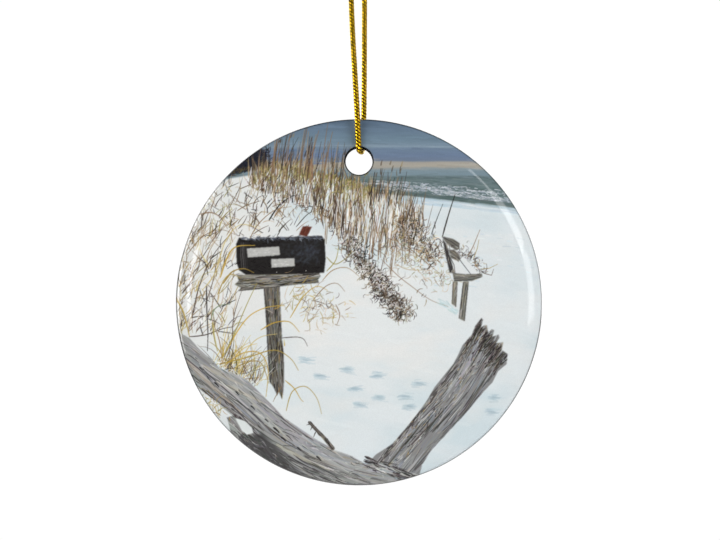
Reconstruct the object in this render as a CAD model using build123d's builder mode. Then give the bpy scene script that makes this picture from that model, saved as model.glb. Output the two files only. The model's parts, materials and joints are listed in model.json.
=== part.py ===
from build123d import *
import math
import os

# A round porcelain hanging ornament on a looped metallic cord, in millimetres.
# The origin is the hanging point, inside the top of the cord loop. +Z is up.
# The printed face looks towards -Y, and the disc hangs straight below the origin.

# Disc
DISC_DIAMETER = 73.0
DISC_THICKNESS = 3.2
COATING = 0.08            # clear coating that carries the picture, over the front only
ROLL_RADIUS = 12.0        # section radius of the gentle roll-off round the flat face
ROLL_ANGLE = 22.0         # slope, in degrees, where the roll-off meets the rim round
RIM_ROUND = 1.2
BACK_ROUND = 0.8

# Hanging hole
HOLE_DIAMETER = 5.4
HOLE_RISE = 28.0          # hole centre above the disc centre
HOLE_ROUND = 0.5

# Cord
CORD_DIAMETER = 0.95
LOOP_HEIGHT = 86.0        # hanging point above the disc centre
CORD_GAP = 0.12           # clearance between the cord and the porcelain it goes round
BEND_INSET = 0.43         # where the cord bends round the hole's edge, beyond the straight wall
BEND_RISE = 0.62          # where that bend ends, above the cord's lowest run
KNOT_BASE = 2.0           # bottom of the knot above the hanging point
KNOT_HEIGHT = 4.2
KNOT_RADIUS = 1.9
KNOT_END_RADIUS = 1.0
STRAND_OFFSET = 0.47      # each strand's distance from the middle where it enters the knot

disc_radius = DISC_DIAMETER / 2
hole_radius = HOLE_DIAMETER / 2
cord_radius = CORD_DIAMETER / 2
half = DISC_THICKNESS / 2
disc_z = -LOOP_HEIGHT
hole_z = disc_z + HOLE_RISE
roll_slope = math.radians(ROLL_ANGLE)
rim_centre_radius = disc_radius - RIM_ROUND
rim_start_radius = rim_centre_radius + RIM_ROUND * math.sin(roll_slope)
roll_start_radius = rim_start_radius - ROLL_RADIUS * math.sin(roll_slope)
roll_centre_y = -half + ROLL_RADIUS
rim_start_y = roll_centre_y - ROLL_RADIUS * math.cos(roll_slope)
widest_y = rim_start_y + RIM_ROUND * math.cos(roll_slope)
hole_mouth = hole_radius + HOLE_ROUND
knot_top = KNOT_BASE + KNOT_HEIGHT

disc_plane = Plane.XY.offset(disc_z)
hole_plane = Plane.XY.offset(hole_z)
disc_axis = Axis((0, 0, disc_z), (0, 1, 0))
hole_axis = Axis((0, 0, hole_z), (0, 1, 0))


def front_points(inset):
    """The front's section, from its middle to its widest line, set in by a thickness."""
    roll = ROLL_RADIUS - inset
    rim = RIM_ROUND - inset

    def on_roll(angle):
        return (roll_start_radius + roll * math.sin(angle), roll_centre_y - roll * math.cos(angle))

    def on_rim(angle):
        return (rim_centre_radius + rim * math.sin(angle), widest_y - rim * math.cos(angle))

    middle_of_rim = (roll_slope + math.pi / 2) / 2
    return {
        "middle": (0, -half + inset),
        "flat_edge": on_roll(0),
        "roll_middle": on_roll(roll_slope / 2),
        "roll_end": on_roll(roll_slope),
        "rim_middle": on_rim(middle_of_rim),
        "widest": on_rim(math.pi / 2),
    }


def draw_front(points):
    """Draws that section as a line and two arcs in the open BuildLine."""
    Line(points["middle"], points["flat_edge"])
    ThreePointArc(points["flat_edge"], points["roll_middle"], points["roll_end"])
    ThreePointArc(points["roll_end"], points["rim_middle"], points["widest"])


def hole_round_points(radius, side):
    """Mouth, middle and wall end of the hole's edge round on one side, -1 front and 1 back."""
    centre_y = side * (half - HOLE_ROUND)
    step = radius * math.sqrt(0.5)
    return (
        (hole_mouth, centre_y + side * radius),
        (hole_mouth - step, centre_y + side * step),
        (hole_mouth - radius, centre_y),
    )


# Porcelain disc, whose front is set in by the coating's thickness
bare = front_points(COATING)
with BuildPart() as ceramic_disc:
    with BuildSketch(disc_plane):
        with BuildLine():
            draw_front(bare)
            Polyline(
                bare["widest"],
                (disc_radius, widest_y),
                (disc_radius, half - BACK_ROUND),
            )
            RadiusArc((disc_radius, half - BACK_ROUND), (disc_radius - BACK_ROUND, half), -BACK_ROUND)
            Polyline((disc_radius - BACK_ROUND, half), (0, half), bare["middle"])
        make_face()
    revolve(axis=disc_axis)
    with BuildSketch(hole_plane):
        with BuildLine():
            front_mouth, front_mid, front_wall = hole_round_points(HOLE_ROUND - COATING, -1)
            back_mouth, back_mid, back_wall = hole_round_points(HOLE_ROUND, 1)
            Polyline((0, -DISC_THICKNESS), (hole_mouth, -DISC_THICKNESS), front_mouth)
            ThreePointArc(front_mouth, front_mid, front_wall)
            Polyline(front_wall, (hole_radius, front_wall[1]), back_wall)
            ThreePointArc(back_wall, back_mid, back_mouth)
            Polyline(back_mouth, (hole_mouth, DISC_THICKNESS), (0, DISC_THICKNESS), (0, -DISC_THICKNESS))
        make_face()
    revolve(axis=hole_axis, mode=Mode.SUBTRACT)
ceramic_disc.part.label = "ceramic_disc"

# Printed coating, over the front from the widest line into the hole's mouth
outer = front_points(0)
with BuildPart() as printed_coating:
    with BuildSketch(disc_plane):
        with BuildLine():
            draw_front(outer)
            Line(outer["widest"], bare["widest"])
            draw_front(bare)
            Line(bare["middle"], outer["middle"])
        make_face()
    revolve(axis=disc_axis)
    with BuildSketch(hole_plane):
        with Locations((hole_mouth / 2, 0)):
            Rectangle(hole_mouth, 2 * DISC_THICKNESS)
    revolve(axis=hole_axis, mode=Mode.SUBTRACT)
    with BuildSketch(hole_plane):
        with BuildLine():
            skin_mouth, skin_mid, skin_wall = hole_round_points(HOLE_ROUND, -1)
            ThreePointArc(skin_mouth, skin_mid, skin_wall)
            Line(skin_wall, front_wall)
            ThreePointArc(front_wall, front_mid, front_mouth)
            Line(front_mouth, skin_mouth)
        make_face()
    revolve(axis=hole_axis)
printed_coating.part.label = "printed_coating"

# The cord's route: down the front, under the hole's top wall and up behind, knot to knot.
# At the porcelain it stands off by the cord's radius and the gap.
face_y = half + cord_radius + CORD_GAP
bight_z = hole_z + hole_radius - cord_radius - CORD_GAP
corner_y = half - HOLE_ROUND + BEND_INSET
corner_z = bight_z + BEND_RISE
cord_route = [
    (-STRAND_OFFSET, 0, KNOT_BASE),
    (-STRAND_OFFSET, 0, 0.3),
    (-0.66, -0.12, -3.0),
    (-1.05, -0.50, -9.0),
    (-1.45, -1.08, -17.0),
    (-1.62, -1.66, -25.5),
    (-1.26, -2.18, -33.5),
    (-0.82, -face_y - 0.01, -41.0),
    (-0.48, -face_y + 0.01, -46.5),
    (-0.28, -face_y - 0.01, -50.2),
    (-0.20, -face_y, -52.7),
    (-0.14, -face_y - 0.01, -54.2),
    (-0.08, -face_y, corner_z),
    (0.06, -corner_y, bight_z),
    (0.30, 0, bight_z - 0.03),
    (0.54, corner_y, bight_z - 0.03),
    (0.66, face_y, corner_z),
    (0.72, face_y + 0.01, -54.2),
    (0.80, face_y, -52.7),
    (0.92, face_y + 0.01, -50.2),
    (1.00, face_y - 0.01, -46.5),
    (1.05, face_y + 0.01, -41.0),
    (1.08, 2.18, -33.5),
    (1.10, 1.64, -25.5),
    (1.04, 1.06, -17.0),
    (0.86, 0.48, -9.0),
    (0.60, 0.11, -3.0),
    (STRAND_OFFSET, 0, 0.3),
    (STRAND_OFFSET, 0, KNOT_BASE),
]
tail_routes = {
    "cord_tail_left": [
        (-STRAND_OFFSET, 0, knot_top),
        (-STRAND_OFFSET, 0, knot_top + 1.4),
        (-0.95, -0.15, knot_top + 3.8),
        (-1.90, -0.50, knot_top + 7.8),
    ],
    "cord_tail_right": [
        (STRAND_OFFSET, 0, knot_top),
        (STRAND_OFFSET, 0, knot_top + 1.3),
        (0.85, 0.30, knot_top + 3.4),
        (1.25, 1.00, knot_top + 6.6),
    ],
}


def bend_radii(route):
    """The largest arc that each corner's two runs allow."""
    points = [Vector(*point) for point in route]
    radii = []
    for before, corner, after in zip(points, points[1:], points[2:]):
        first = corner - before
        second = after - corner
        turn = math.radians(first.get_angle(second))
        shorter = min(first.length, second.length)
        radii.append(0.45 * shorter / math.tan(turn / 2))
    return radii


def cord_tube(route):
    """A round tube along the route's runs and arcs, and the path's length."""
    radii = bend_radii(route)
    with BuildPart() as tube:
        with BuildLine() as path:
            FilletPolyline(*route, radius=radii)
        with BuildSketch(Plane(origin=path.line @ 0, z_dir=path.line % 0)):
            Circle(cord_radius)
        sweep(path=path.line)
    length = sum(edge.length for edge in path.edges())
    section = math.pi * cord_radius**2
    print("radii", [round(radius, 1) for radius in radii])
    print("length", round(length, 1), "volume", round(tube.part.volume, 2), "section x length",
          round(section * length, 2))
    return tube


hanging_cord = cord_tube(cord_route)
hanging_cord.part.label = "hanging_cord"

# Overhand knot that closes the loop, as a plain closed form
with BuildPart() as cord_knot:
    with BuildSketch(Plane.XZ):
        with BuildLine():
            Line((0, KNOT_BASE), (KNOT_END_RADIUS, KNOT_BASE))
            ThreePointArc(
                (KNOT_END_RADIUS, KNOT_BASE),
                (KNOT_RADIUS, KNOT_BASE + KNOT_HEIGHT / 2),
                (KNOT_END_RADIUS, knot_top),
            )
            Polyline((KNOT_END_RADIUS, knot_top), (0, knot_top), (0, KNOT_BASE))
        make_face()
    revolve(axis=Axis.Z)
cord_knot.part.label = "cord_knot"

# The cord's two ends, above the knot
tails = {}
for name, route in tail_routes.items():
    tails[name] = cord_tube(route)
    tails[name].part.label = name

os.makedirs("parts", exist_ok=True)
export_step(ceramic_disc.part, "parts/ceramic_disc.step")
export_step(printed_coating.part, "parts/printed_coating.step")
export_step(hanging_cord.part, "parts/hanging_cord.step")
export_step(cord_knot.part, "parts/cord_knot.step")
for name, tail in tails.items():
    export_step(tail.part, f"parts/{name}.step")
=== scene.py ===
import json
import math

import bpy
import numpy as np
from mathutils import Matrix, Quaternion, Vector


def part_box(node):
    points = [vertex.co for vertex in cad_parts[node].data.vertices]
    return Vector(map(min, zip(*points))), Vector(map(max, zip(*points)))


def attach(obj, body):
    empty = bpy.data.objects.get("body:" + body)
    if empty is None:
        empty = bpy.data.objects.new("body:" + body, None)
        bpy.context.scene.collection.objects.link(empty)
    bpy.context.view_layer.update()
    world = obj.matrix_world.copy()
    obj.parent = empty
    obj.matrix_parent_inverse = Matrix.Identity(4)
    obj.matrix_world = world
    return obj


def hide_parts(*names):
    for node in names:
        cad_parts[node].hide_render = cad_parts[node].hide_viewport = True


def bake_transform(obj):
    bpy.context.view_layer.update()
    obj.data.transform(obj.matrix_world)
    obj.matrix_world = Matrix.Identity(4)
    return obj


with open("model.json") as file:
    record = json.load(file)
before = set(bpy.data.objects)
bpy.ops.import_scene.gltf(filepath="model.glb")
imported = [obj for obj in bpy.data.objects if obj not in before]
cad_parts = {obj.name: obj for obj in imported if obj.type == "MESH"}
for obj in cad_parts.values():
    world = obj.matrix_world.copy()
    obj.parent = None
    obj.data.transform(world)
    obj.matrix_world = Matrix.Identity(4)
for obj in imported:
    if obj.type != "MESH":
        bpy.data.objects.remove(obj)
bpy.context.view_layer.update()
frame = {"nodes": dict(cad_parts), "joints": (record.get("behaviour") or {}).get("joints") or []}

MM = 0.001

# Places that the frame gives, in metres
skin_low, skin_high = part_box("printed_coating")
knot_low, knot_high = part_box("cord_knot")
DISC_RADIUS = (skin_high.x - skin_low.x) / 2
CENTRE_Z = (skin_high.z + skin_low.z) / 2
FRONT_Y = skin_low.y
WIDEST_Y = skin_high.y
HOLE_Z = next(j["pos_m"][2] for j in frame["joints"] if j["name"] == "disc_swing")

# Sizes repeated from the CAD design
ROLL_RADIUS = 12 * MM
ROLL_ANGLE = math.radians(22)
RIM_ROUND = 1.2 * MM
HOLE_RADIUS = 2.7 * MM
HOLE_ROUND = 0.5 * MM

# The cord's route, as in the CAD design
FACE_Y = 2.195
BIGHT_Z = -55.895
CORNER_Y = 1.53
CORNER_Z = BIGHT_Z + 0.62
CORD_ROUTE = [
    (-0.47, 0, 2.0),
    (-0.47, 0, 0.3),
    (-0.66, -0.12, -3.0),
    (-1.05, -0.50, -9.0),
    (-1.45, -1.08, -17.0),
    (-1.62, -1.66, -25.5),
    (-1.26, -2.18, -33.5),
    (-0.82, -FACE_Y - 0.01, -41.0),
    (-0.48, -FACE_Y + 0.01, -46.5),
    (-0.28, -FACE_Y - 0.01, -50.2),
    (-0.20, -FACE_Y, -52.7),
    (-0.14, -FACE_Y - 0.01, -54.2),
    (-0.08, -FACE_Y, CORNER_Z),
    (0.06, -CORNER_Y, BIGHT_Z),
    (0.30, 0, BIGHT_Z - 0.03),
    (0.54, CORNER_Y, BIGHT_Z - 0.03),
    (0.66, FACE_Y, CORNER_Z),
    (0.72, FACE_Y + 0.01, -54.2),
    (0.80, FACE_Y, -52.7),
    (0.92, FACE_Y + 0.01, -50.2),
    (1.00, FACE_Y - 0.01, -46.5),
    (1.05, FACE_Y + 0.01, -41.0),
    (1.08, 2.18, -33.5),
    (1.10, 1.64, -25.5),
    (1.04, 1.06, -17.0),
    (0.86, 0.48, -9.0),
    (0.60, 0.11, -3.0),
    (0.47, 0, 0.3),
    (0.47, 0, 2.0),
]
LEFT_TAIL_ROUTE = [(-0.47, 0, 6.2), (-0.47, 0, 7.6), (-0.95, -0.15, 10.0), (-1.90, -0.50, 14.0)]
RIGHT_TAIL_ROUTE = [(0.47, 0, 6.2), (0.47, 0, 7.5), (0.85, 0.30, 9.6), (1.25, 1.00, 12.8)]

GLAZE_IOR = 1.5


# ---------------------------------------------------------------- nodes and materials


def new_material(name):
    """A node material, its nodes and links, and its Principled shader."""
    material = bpy.data.materials.new(name)
    material.use_nodes = True
    nodes = material.node_tree.nodes
    links = material.node_tree.links
    return material, nodes, links, nodes["Principled BSDF"]


def noise_node(nodes, links, scale, detail):
    """The value of a noise texture in the object's own metres."""
    place = nodes.new("ShaderNodeTexCoord")
    noise = nodes.new("ShaderNodeTexNoise")
    noise.inputs["Scale"].default_value = scale
    noise.inputs["Detail"].default_value = detail
    links.new(place.outputs["Object"], noise.inputs["Vector"])
    return noise.outputs["Fac"]


def add_bump(nodes, links, shader, scale, detail, strength, distance):
    """Gives the shader a bumpy surface from a noise of its own."""
    height = noise_node(nodes, links, scale, detail)
    bump = nodes.new("ShaderNodeBump")
    bump.inputs["Strength"].default_value = strength
    bump.inputs["Distance"].default_value = distance
    links.new(height, bump.inputs["Height"])
    links.new(bump.outputs["Normal"], shader.inputs["Normal"])


def ramp(nodes, links, source, stops):
    """The colour that a source has on a ramp of (position, colour) stops."""
    node = nodes.new("ShaderNodeValToRGB")
    elements = node.color_ramp.elements
    while len(elements) < len(stops):
        elements.new(0.5)
    for element, (position, tone) in zip(elements, stops):
        element.position = position
        element.color = (*tone, 1)
    links.new(source, node.inputs["Fac"])
    return node.outputs["Color"]


def tint(nodes, links, shader, scale, detail, stops):
    """Gives the shader a faintly clouded base colour."""
    links.new(ramp(nodes, links, noise_node(nodes, links, scale, detail), stops), shader.inputs["Base Color"])


def print_material():
    """The painted colours with fine pigment grain, under a glossy and slightly wavy clear coat."""
    material, nodes, links, shader = new_material("printed_picture")
    paint = nodes.new("ShaderNodeAttribute")
    paint.attribute_name = "paint"
    grain = noise_node(nodes, links, 5200, 3)
    grain = ramp(nodes, links, grain, [(0.3, (0.96, 0.96, 0.96)), (0.7, (1.03, 1.03, 1.03))])
    mix = nodes.new("ShaderNodeMix")
    mix.data_type = "RGBA"
    mix.blend_type = "MULTIPLY"
    mix.inputs["Factor"].default_value = 1
    links.new(paint.outputs["Color"], mix.inputs["A"])
    links.new(grain, mix.inputs["B"])
    links.new(mix.outputs["Result"], shader.inputs["Base Color"])
    matte = nodes.new("ShaderNodeAttribute")
    matte.attribute_name = "matte"
    for socket, glossy, dull in (("Roughness", 0.05, 0.7), ("Specular IOR Level", 0.5, 0.0)):
        span = nodes.new("ShaderNodeMapRange")
        span.inputs["To Min"].default_value = glossy
        span.inputs["To Max"].default_value = dull
        links.new(matte.outputs["Fac"], span.inputs["Value"])
        links.new(span.outputs["Result"], shader.inputs[socket])
    shader.inputs["IOR"].default_value = GLAZE_IOR
    add_bump(nodes, links, shader, 260, 2, 0.05, 0.0004)
    return material


def porcelain_material():
    """White glaze, faintly warm and cool in patches, with soft gloss waves."""
    material, nodes, links, shader = new_material("porcelain_glaze")
    tint(nodes, links, shader, 90, 4, [(0.35, (0.835, 0.835, 0.825)), (0.7, (0.86, 0.865, 0.86))])
    shader.inputs["Roughness"].default_value = 0.11
    shader.inputs["IOR"].default_value = GLAZE_IOR
    add_bump(nodes, links, shader, 300, 3, 0.06, 0.0004)
    return material


# Gold from near black, painted shade in the cord's crevices, to bright gold on its crests.
GOLD_SHADE_STOPS = [(0.0, (0.006, 0.001, 0.0001)), (0.5, (0.34, 0.15, 0.001)), (1.0, (1.0, 0.72, 0.008))]


def cord_material():
    """Gold metallic thread: bright on the crests of plies and filaments, with painted shade, near black, in
    the crevices between them.
    """
    material, nodes, links, shader = new_material("gold_thread")
    depth = nodes.new("ShaderNodeAttribute")
    depth.attribute_name = "ply_shade"
    links.new(ramp(nodes, links, depth.outputs["Fac"], GOLD_SHADE_STOPS), shader.inputs["Base Color"])
    shader.inputs["Metallic"].default_value = 0.8
    shader.inputs["Roughness"].default_value = 0.19
    add_bump(nodes, links, shader, 9000, 2, 0.25, 0.00004)
    return material


# ---------------------------------------------------------------- meshes


def mesh_object(name, vertices, faces, material):
    """A smooth-shaded object whose faces all have the same number of corners."""
    mesh = bpy.data.meshes.new(name)
    vertices = np.asarray(vertices, np.float32)
    faces = np.asarray(faces, np.int32)
    mesh.vertices.add(len(vertices))
    mesh.vertices.foreach_set("co", vertices.ravel())
    corners = faces.shape[1]
    mesh.loops.add(faces.size)
    mesh.loops.foreach_set("vertex_index", faces.ravel())
    mesh.polygons.add(len(faces))
    mesh.polygons.foreach_set("loop_start", np.arange(len(faces)) * corners)
    mesh.polygons.foreach_set("loop_total", np.full(len(faces), corners))
    mesh.update(calc_edges=True)
    mesh.validate()
    mesh.polygons.foreach_set("use_smooth", np.full(len(mesh.polygons), True))
    mesh.materials.append(material)
    piece = bpy.data.objects.new(name, mesh)
    bpy.context.scene.collection.objects.link(piece)
    return piece


def route_points(name, route, steps):
    """Points along the NURBS line whose control points are the route's, in millimetres."""
    curve = bpy.data.curves.new(name, "CURVE")
    curve.dimensions = "3D"
    spline = curve.splines.new("NURBS")
    spline.points.add(len(route) - 1)
    for point, (x, y, z) in zip(spline.points, route):
        point.co = (x * MM, y * MM, z * MM, 1)
    spline.order_u = 3
    spline.use_endpoint_u = True
    spline.resolution_u = steps
    line = bpy.data.objects.new(name, curve)
    mesh = bpy.data.meshes.new_from_object(line)
    points = np.array([vertex.co for vertex in mesh.vertices], float)
    bpy.data.objects.remove(line)
    bpy.data.meshes.remove(mesh)
    bpy.data.curves.remove(curve)
    return points


def along(points, step):
    """The same line with its points evenly spaced, and the distance to each."""
    spans = np.linalg.norm(np.diff(points, axis=0), axis=1)
    distance = np.concatenate([[0], np.cumsum(spans)])
    count = max(2, int(round(distance[-1] / step)) + 1)
    at = np.linspace(0, distance[-1], count)
    return np.stack([np.interp(at, distance, points[:, k]) for k in range(3)], 1), at


def frames(points):
    """A tangent and two normals at each point, turned as little as possible from one to the next."""
    tangents = np.gradient(points, axis=0)
    tangents /= np.linalg.norm(tangents, axis=1)[:, None]
    normals = np.zeros_like(points)
    start = np.cross(tangents[0], (0.0, 1.0, 0.0))
    normals[0] = start / np.linalg.norm(start)
    for i in range(1, len(points)):
        normal = normals[i - 1] - tangents[i] * np.dot(normals[i - 1], tangents[i])
        normals[i] = normal / np.linalg.norm(normal)
    return tangents, normals, np.cross(tangents, normals)


PLIES = 3
LAY = 2.02 * MM
PLY_OFFSET = 0.305 * MM
PLY_RADIUS = 0.276 * MM
FILAMENTS = 7
SIDES = FILAMENTS * 4
FILAMENT_LAY = 1.1 * MM
FILAMENT_DEPTH = 0.16
ROPE_STEP = 0.10 * MM
FRAYED = 1.5 * MM
ROUNDED = 0.3 * MM


def rope(points, fray=0.0, swell=None):
    """Vertices, faces and shade heights of a three-ply twisted cord round a line: low in the crevices, where
    the colour is darkened as painted shade.

    fray opens its end, where the plies are then rounded off. swell gives the cord's thickness at
    each point of the line, as a factor.
    """
    centre, at = along(points, ROPE_STEP)
    tangents, first, second = frames(centre)
    rings = len(centre)
    vertices, faces, heights = [], [], []
    around = np.arange(SIDES) / SIDES * 2 * math.pi
    opening = 1 + fray * np.clip((at - at[-1] + FRAYED) / FRAYED, 0, 1) ** 2
    girth = np.ones(rings) if swell is None else swell(centre)
    tip = np.clip((at - at[-1] + ROUNDED) / ROUNDED, 0, 1) if fray else np.zeros(rings)
    rounding = np.sqrt(1 - 0.999 * tip**2)[:, None]
    offset = (PLY_OFFSET * opening * girth)[:, None]
    filament_turn = at / FILAMENT_LAY * 2 * math.pi
    ridge = np.abs(np.sin((around[None, :] * FILAMENTS + filament_turn[:, None]) / 2))
    radius = PLY_RADIUS * (1 - FILAMENT_DEPTH * (1 - ridge)) * girth[:, None] * rounding
    i = np.arange(rings - 1)[:, None] * SIDES
    j = np.arange(SIDES)[None, :]
    k = (j + 1) % SIDES
    tube = np.stack([i + j, i + k, i + SIDES + k, i + SIDES + j], 2).reshape(-1, 4)
    for ply in range(PLIES):
        turn = -at / LAY * 2 * math.pi + ply * 2 * math.pi / PLIES
        ply_centre = centre + (first * np.cos(turn)[:, None] + second * np.sin(turn)[:, None]) * offset
        _, ply_first, ply_second = frames(ply_centre)
        ring = (
            ply_centre[:, None, :]
            + ply_first[:, None, :] * (np.cos(around)[None, :] * radius)[..., None]
            + ply_second[:, None, :] * (np.sin(around)[None, :] * radius)[..., None]
        )
        arm = ring - centre[:, None, :]
        out = arm - tangents[:, None, :] * np.sum(arm * tangents[:, None, :], axis=2, keepdims=True)
        outward = np.linalg.norm(out, axis=2) / ((PLY_OFFSET + PLY_RADIUS) * girth[:, None])
        vertices.append(ring.reshape(-1, 3))
        faces.append(ply * rings * SIDES + tube)
        # Low in the crevices between plies and filaments, high on their crests: the painted shade of the
        # gold.
        heights.append((ridge * 0.15 + 0.85 * np.clip((outward - 0.83) / 0.15, 0, 1)).ravel())
    return np.concatenate(vertices), np.concatenate(faces), np.concatenate(heights)


def set_values(piece, name, values):
    """Stores one number for each vertex, under a name that the materials read."""
    attribute = piece.data.attributes.new(name, "FLOAT", "POINT")
    attribute.data.foreach_set("value", values.astype(np.float32))


def rope_piece(name, ropes, material):
    """One piece from several ropes, with the heights that paint shade into its crevices."""
    sizes = [len(vertices) for vertices, _, _ in ropes]
    faces = np.concatenate([rope_faces + sum(sizes[:k]) for k, (_, rope_faces, _) in enumerate(ropes)])
    piece = mesh_object(name, np.concatenate([vertices for vertices, _, _ in ropes]), faces, material)
    set_values(piece, "ply_shade", np.concatenate([heights for _, _, heights in ropes]))
    return piece


# ---------------------------------------------------------------- the picture

CELL = 0.065  # mm
HALF_CANVAS = 37.0  # mm
SIZE = int(2 * HALF_CANVAS / CELL)
LEVEL = math.pi / 2  # a stroke that runs to the right
BRUSH_START = 0.55  # of the full width, where a stroke begins
BRUSH_SWELL = 3  # how soon it reaches the full width
BRUSH_TAPER = 1.6  # how late it narrows


def colour(tone):
    """A display colour, from 0 to 255, as fractions. An array is already in fractions."""
    return np.array(tone, float) / 255 if isinstance(tone, tuple) else tone


def blurred(field, radius):
    """A field softened by two passes of a box along each axis."""
    reach = max(1, int(round(radius)))
    kernel = np.ones(2 * reach + 1) / (2 * reach + 1)
    for _ in range(2):
        for axis in (0, 1):
            field = np.apply_along_axis(lambda line: np.convolve(line, kernel, "same"), axis, field)
    return field


def bent(start, angle, length, bend, count=7):
    """Points of a blade that leaves start at an angle from upright and bends over by bend."""
    share = np.linspace(0, 1, count)
    heading = angle + bend * share
    step = length / (count - 1)
    x = start[0] + np.concatenate([[0], np.cumsum(np.sin(heading[:-1]) * step)])
    y = start[1] + np.concatenate([[0], np.cumsum(np.cos(heading[:-1]) * step)])
    return np.stack([x, y], 1)


def smooth(points, count=6):
    """A smooth line through a few points."""
    p = np.array([points[0], *points, points[-1]], float)
    line = []
    for before, start, end, after in zip(p, p[1:], p[2:], p[3:]):
        for s in np.arange(count) / count:
            square = (2 * before - 5 * start + 4 * end - after) * s**2
            cube = (3 * start - before - 3 * end + after) * s**3
            line.append(0.5 * (2 * start + (end - before) * s + square + cube))
    return np.array([*line, p[-1]])


class Canvas:
    """A painting of the beach, in millimetres right and up from the disc's centre."""

    def __init__(self, seed):
        self.random = np.random.default_rng(seed)
        self.image = np.ones((SIZE, SIZE, 3))
        axis = (np.arange(SIZE) + 0.5) * CELL - HALF_CANVAS
        self.u, self.v = np.meshgrid(axis, axis)

    def window(self, low, high):
        """Slices of the rows and columns between two corners."""
        a = np.clip(((np.array(low) + HALF_CANVAS) / CELL).astype(int), 0, SIZE)
        b = np.clip(((np.array(high) + HALF_CANVAS) / CELL).astype(int) + 2, 0, SIZE)
        return slice(a[1], b[1]), slice(a[0], b[0])

    def lay(self, where, cover, tone):
        """Mixes a colour into a window, as far as cover says at each point."""
        area = self.image[where]
        area += (colour(tone) - area) * cover[..., None]

    def varied(self, tone, spread):
        """The colour, a little lighter or darker."""
        return np.clip(colour(tone) * (1 + self.random.normal(0, spread)), 0, 1)

    def here(self, x, y, spread):
        """The colour already at a point, a little lighter or darker."""
        i = int(np.clip((x + HALF_CANVAS) / CELL, 0, SIZE - 1))
        j = int(np.clip((y + HALF_CANVAS) / CELL, 0, SIZE - 1))
        return self.varied(self.image[j, i], spread)

    def noise(self, across, up, octaves=3, turn=0.0, where=(slice(None), slice(None))):
        """Smooth random values from 0 to 1, with blots of the given size."""
        u, v = self.u[where], self.v[where]
        s = u * math.cos(turn) + v * math.sin(turn)
        t = v * math.cos(turn) - u * math.sin(turn)
        total = np.zeros_like(u)
        weight = 0
        for octave in range(octaves):
            share = 0.5**octave
            total += share * self.lattice(s * 2**octave / across, t * 2**octave / up)
            weight += share
        return total / weight

    def lattice(self, s, t):
        """One octave of noise: random values on a grid, smoothly joined."""
        table = self.random.random((256, 256))
        i = np.floor(s).astype(int)
        j = np.floor(t).astype(int)
        fs, ft = s - i, t - j
        fs = fs * fs * (3 - 2 * fs)
        ft = ft * ft * (3 - 2 * ft)
        low = table[j % 256, i % 256] * (1 - fs) + table[j % 256, (i + 1) % 256] * fs
        high = table[(j + 1) % 256, i % 256] * (1 - fs) + table[(j + 1) % 256, (i + 1) % 256] * fs
        return low * (1 - ft) + high * ft

    def inside(self, outline, where):
        """Whether each point of a window is inside a closed outline."""
        u, v = self.u[where], self.v[where]
        odd = np.zeros(u.shape, bool)
        for (x0, y0), (x1, y1) in zip(outline, outline[1:] + outline[:1]):
            if y0 == y1:
                continue
            crosses = (v > min(y0, y1)) & (v <= max(y0, y1))
            odd ^= crosses & (u < x0 + (v - y0) * (x1 - x0) / (y1 - y0))
        return odd

    def shape(self, outline, tone, edge=0.06, alpha=1.0):
        """Fills an outline with one colour. Returns its window and its cover."""
        corners = np.array(outline)
        where = self.window(corners.min(0) - edge, corners.max(0) + edge)
        cover = blurred(self.inside(outline, where).astype(float), edge / CELL) * alpha
        self.lay(where, cover, tone)
        return where, cover

    def stroke(self, points, width, tone, alpha=1.0, tip=0.25):
        """A brush stroke along a few points, thinned at its start and tapered to tip times its width."""
        points = np.asarray(points, float)
        reach = width / 2 + CELL
        where = self.window(points.min(0) - reach, points.max(0) + reach)
        u, v = self.u[where], self.v[where]
        if not u.size:
            return
        best = np.full(u.shape, -1e9)
        spans = np.linalg.norm(np.diff(points, axis=0), axis=1)
        total = max(spans.sum(), 1e-6)
        begun = 0.0
        for (x0, y0), (x1, y1), span in zip(points, points[1:], spans):
            dx, dy = x1 - x0, y1 - y0
            share = np.clip(((u - x0) * dx + (v - y0) * dy) / max(span**2, 1e-9), 0, 1)
            gap = np.hypot(u - x0 - share * dx, v - y0 - share * dy)
            done = (begun + share * span) / total
            swelling = np.minimum(1, BRUSH_START + done * BRUSH_SWELL)
            radius = width / 2 * swelling * (1 - (1 - tip) * done**BRUSH_TAPER)
            best = np.maximum(best, radius - gap)
            begun += span
        self.lay(where, np.clip(best / CELL + 0.5, 0, 1) * alpha, tone)

    def pick(self, tones, spread=0.03):
        """One of the colours, a little lighter or darker and a little off in hue."""
        tone = colour(tones[self.random.integers(len(tones))])
        tone = tone * (1 + self.random.normal(0, spread))
        return np.clip(tone + self.random.normal(0, spread / 6, 3), 0, 1)

    def within(self, left, right, low, high):
        """A place function: anywhere in a rectangle."""
        return lambda: (self.random.uniform(left, right), self.random.uniform(low, high))

    def about(self, middle, spread):
        """A value function: near the middle."""
        return lambda: self.random.normal(middle, spread)

    def value(self, given):
        """A number as it is, a random one from a pair's range, or what a function gives."""
        if callable(given):
            return given()
        return self.random.uniform(*given) if isinstance(given, tuple) else given

    def by(self, height, left, right, low, high, side=1):
        """A place function: above a line of the ground, or below it where side is -1."""

        def place():
            x = self.random.uniform(left, right)
            return (x, height(x) + side * self.random.uniform(low, high))

        return place

    def near(self, x, y, across, up):
        """A place function: near a point."""
        return lambda: (x + self.random.normal(0, across), y + self.random.normal(0, up))

    def arcs(self, rows, alpha, tip):
        """Smooth strokes through given points. A row is points, width and colour."""
        for points, width, tone in rows:
            self.stroke(smooth(points), width, tone, alpha, tip)

    def dabs(
        self, count, place, turn, length, bend, width, tones, alpha=1.0, tip=0.25, spread=0.03, points=7
    ):
        """Many strokes. place gives each one's start; turn, length, bend and width are as in value."""
        for _ in range(count):
            line = bent(place(), self.value(turn), self.value(length), self.value(bend), points)
            self.stroke(line, self.value(width), self.pick(tones, spread), alpha, tip)


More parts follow.
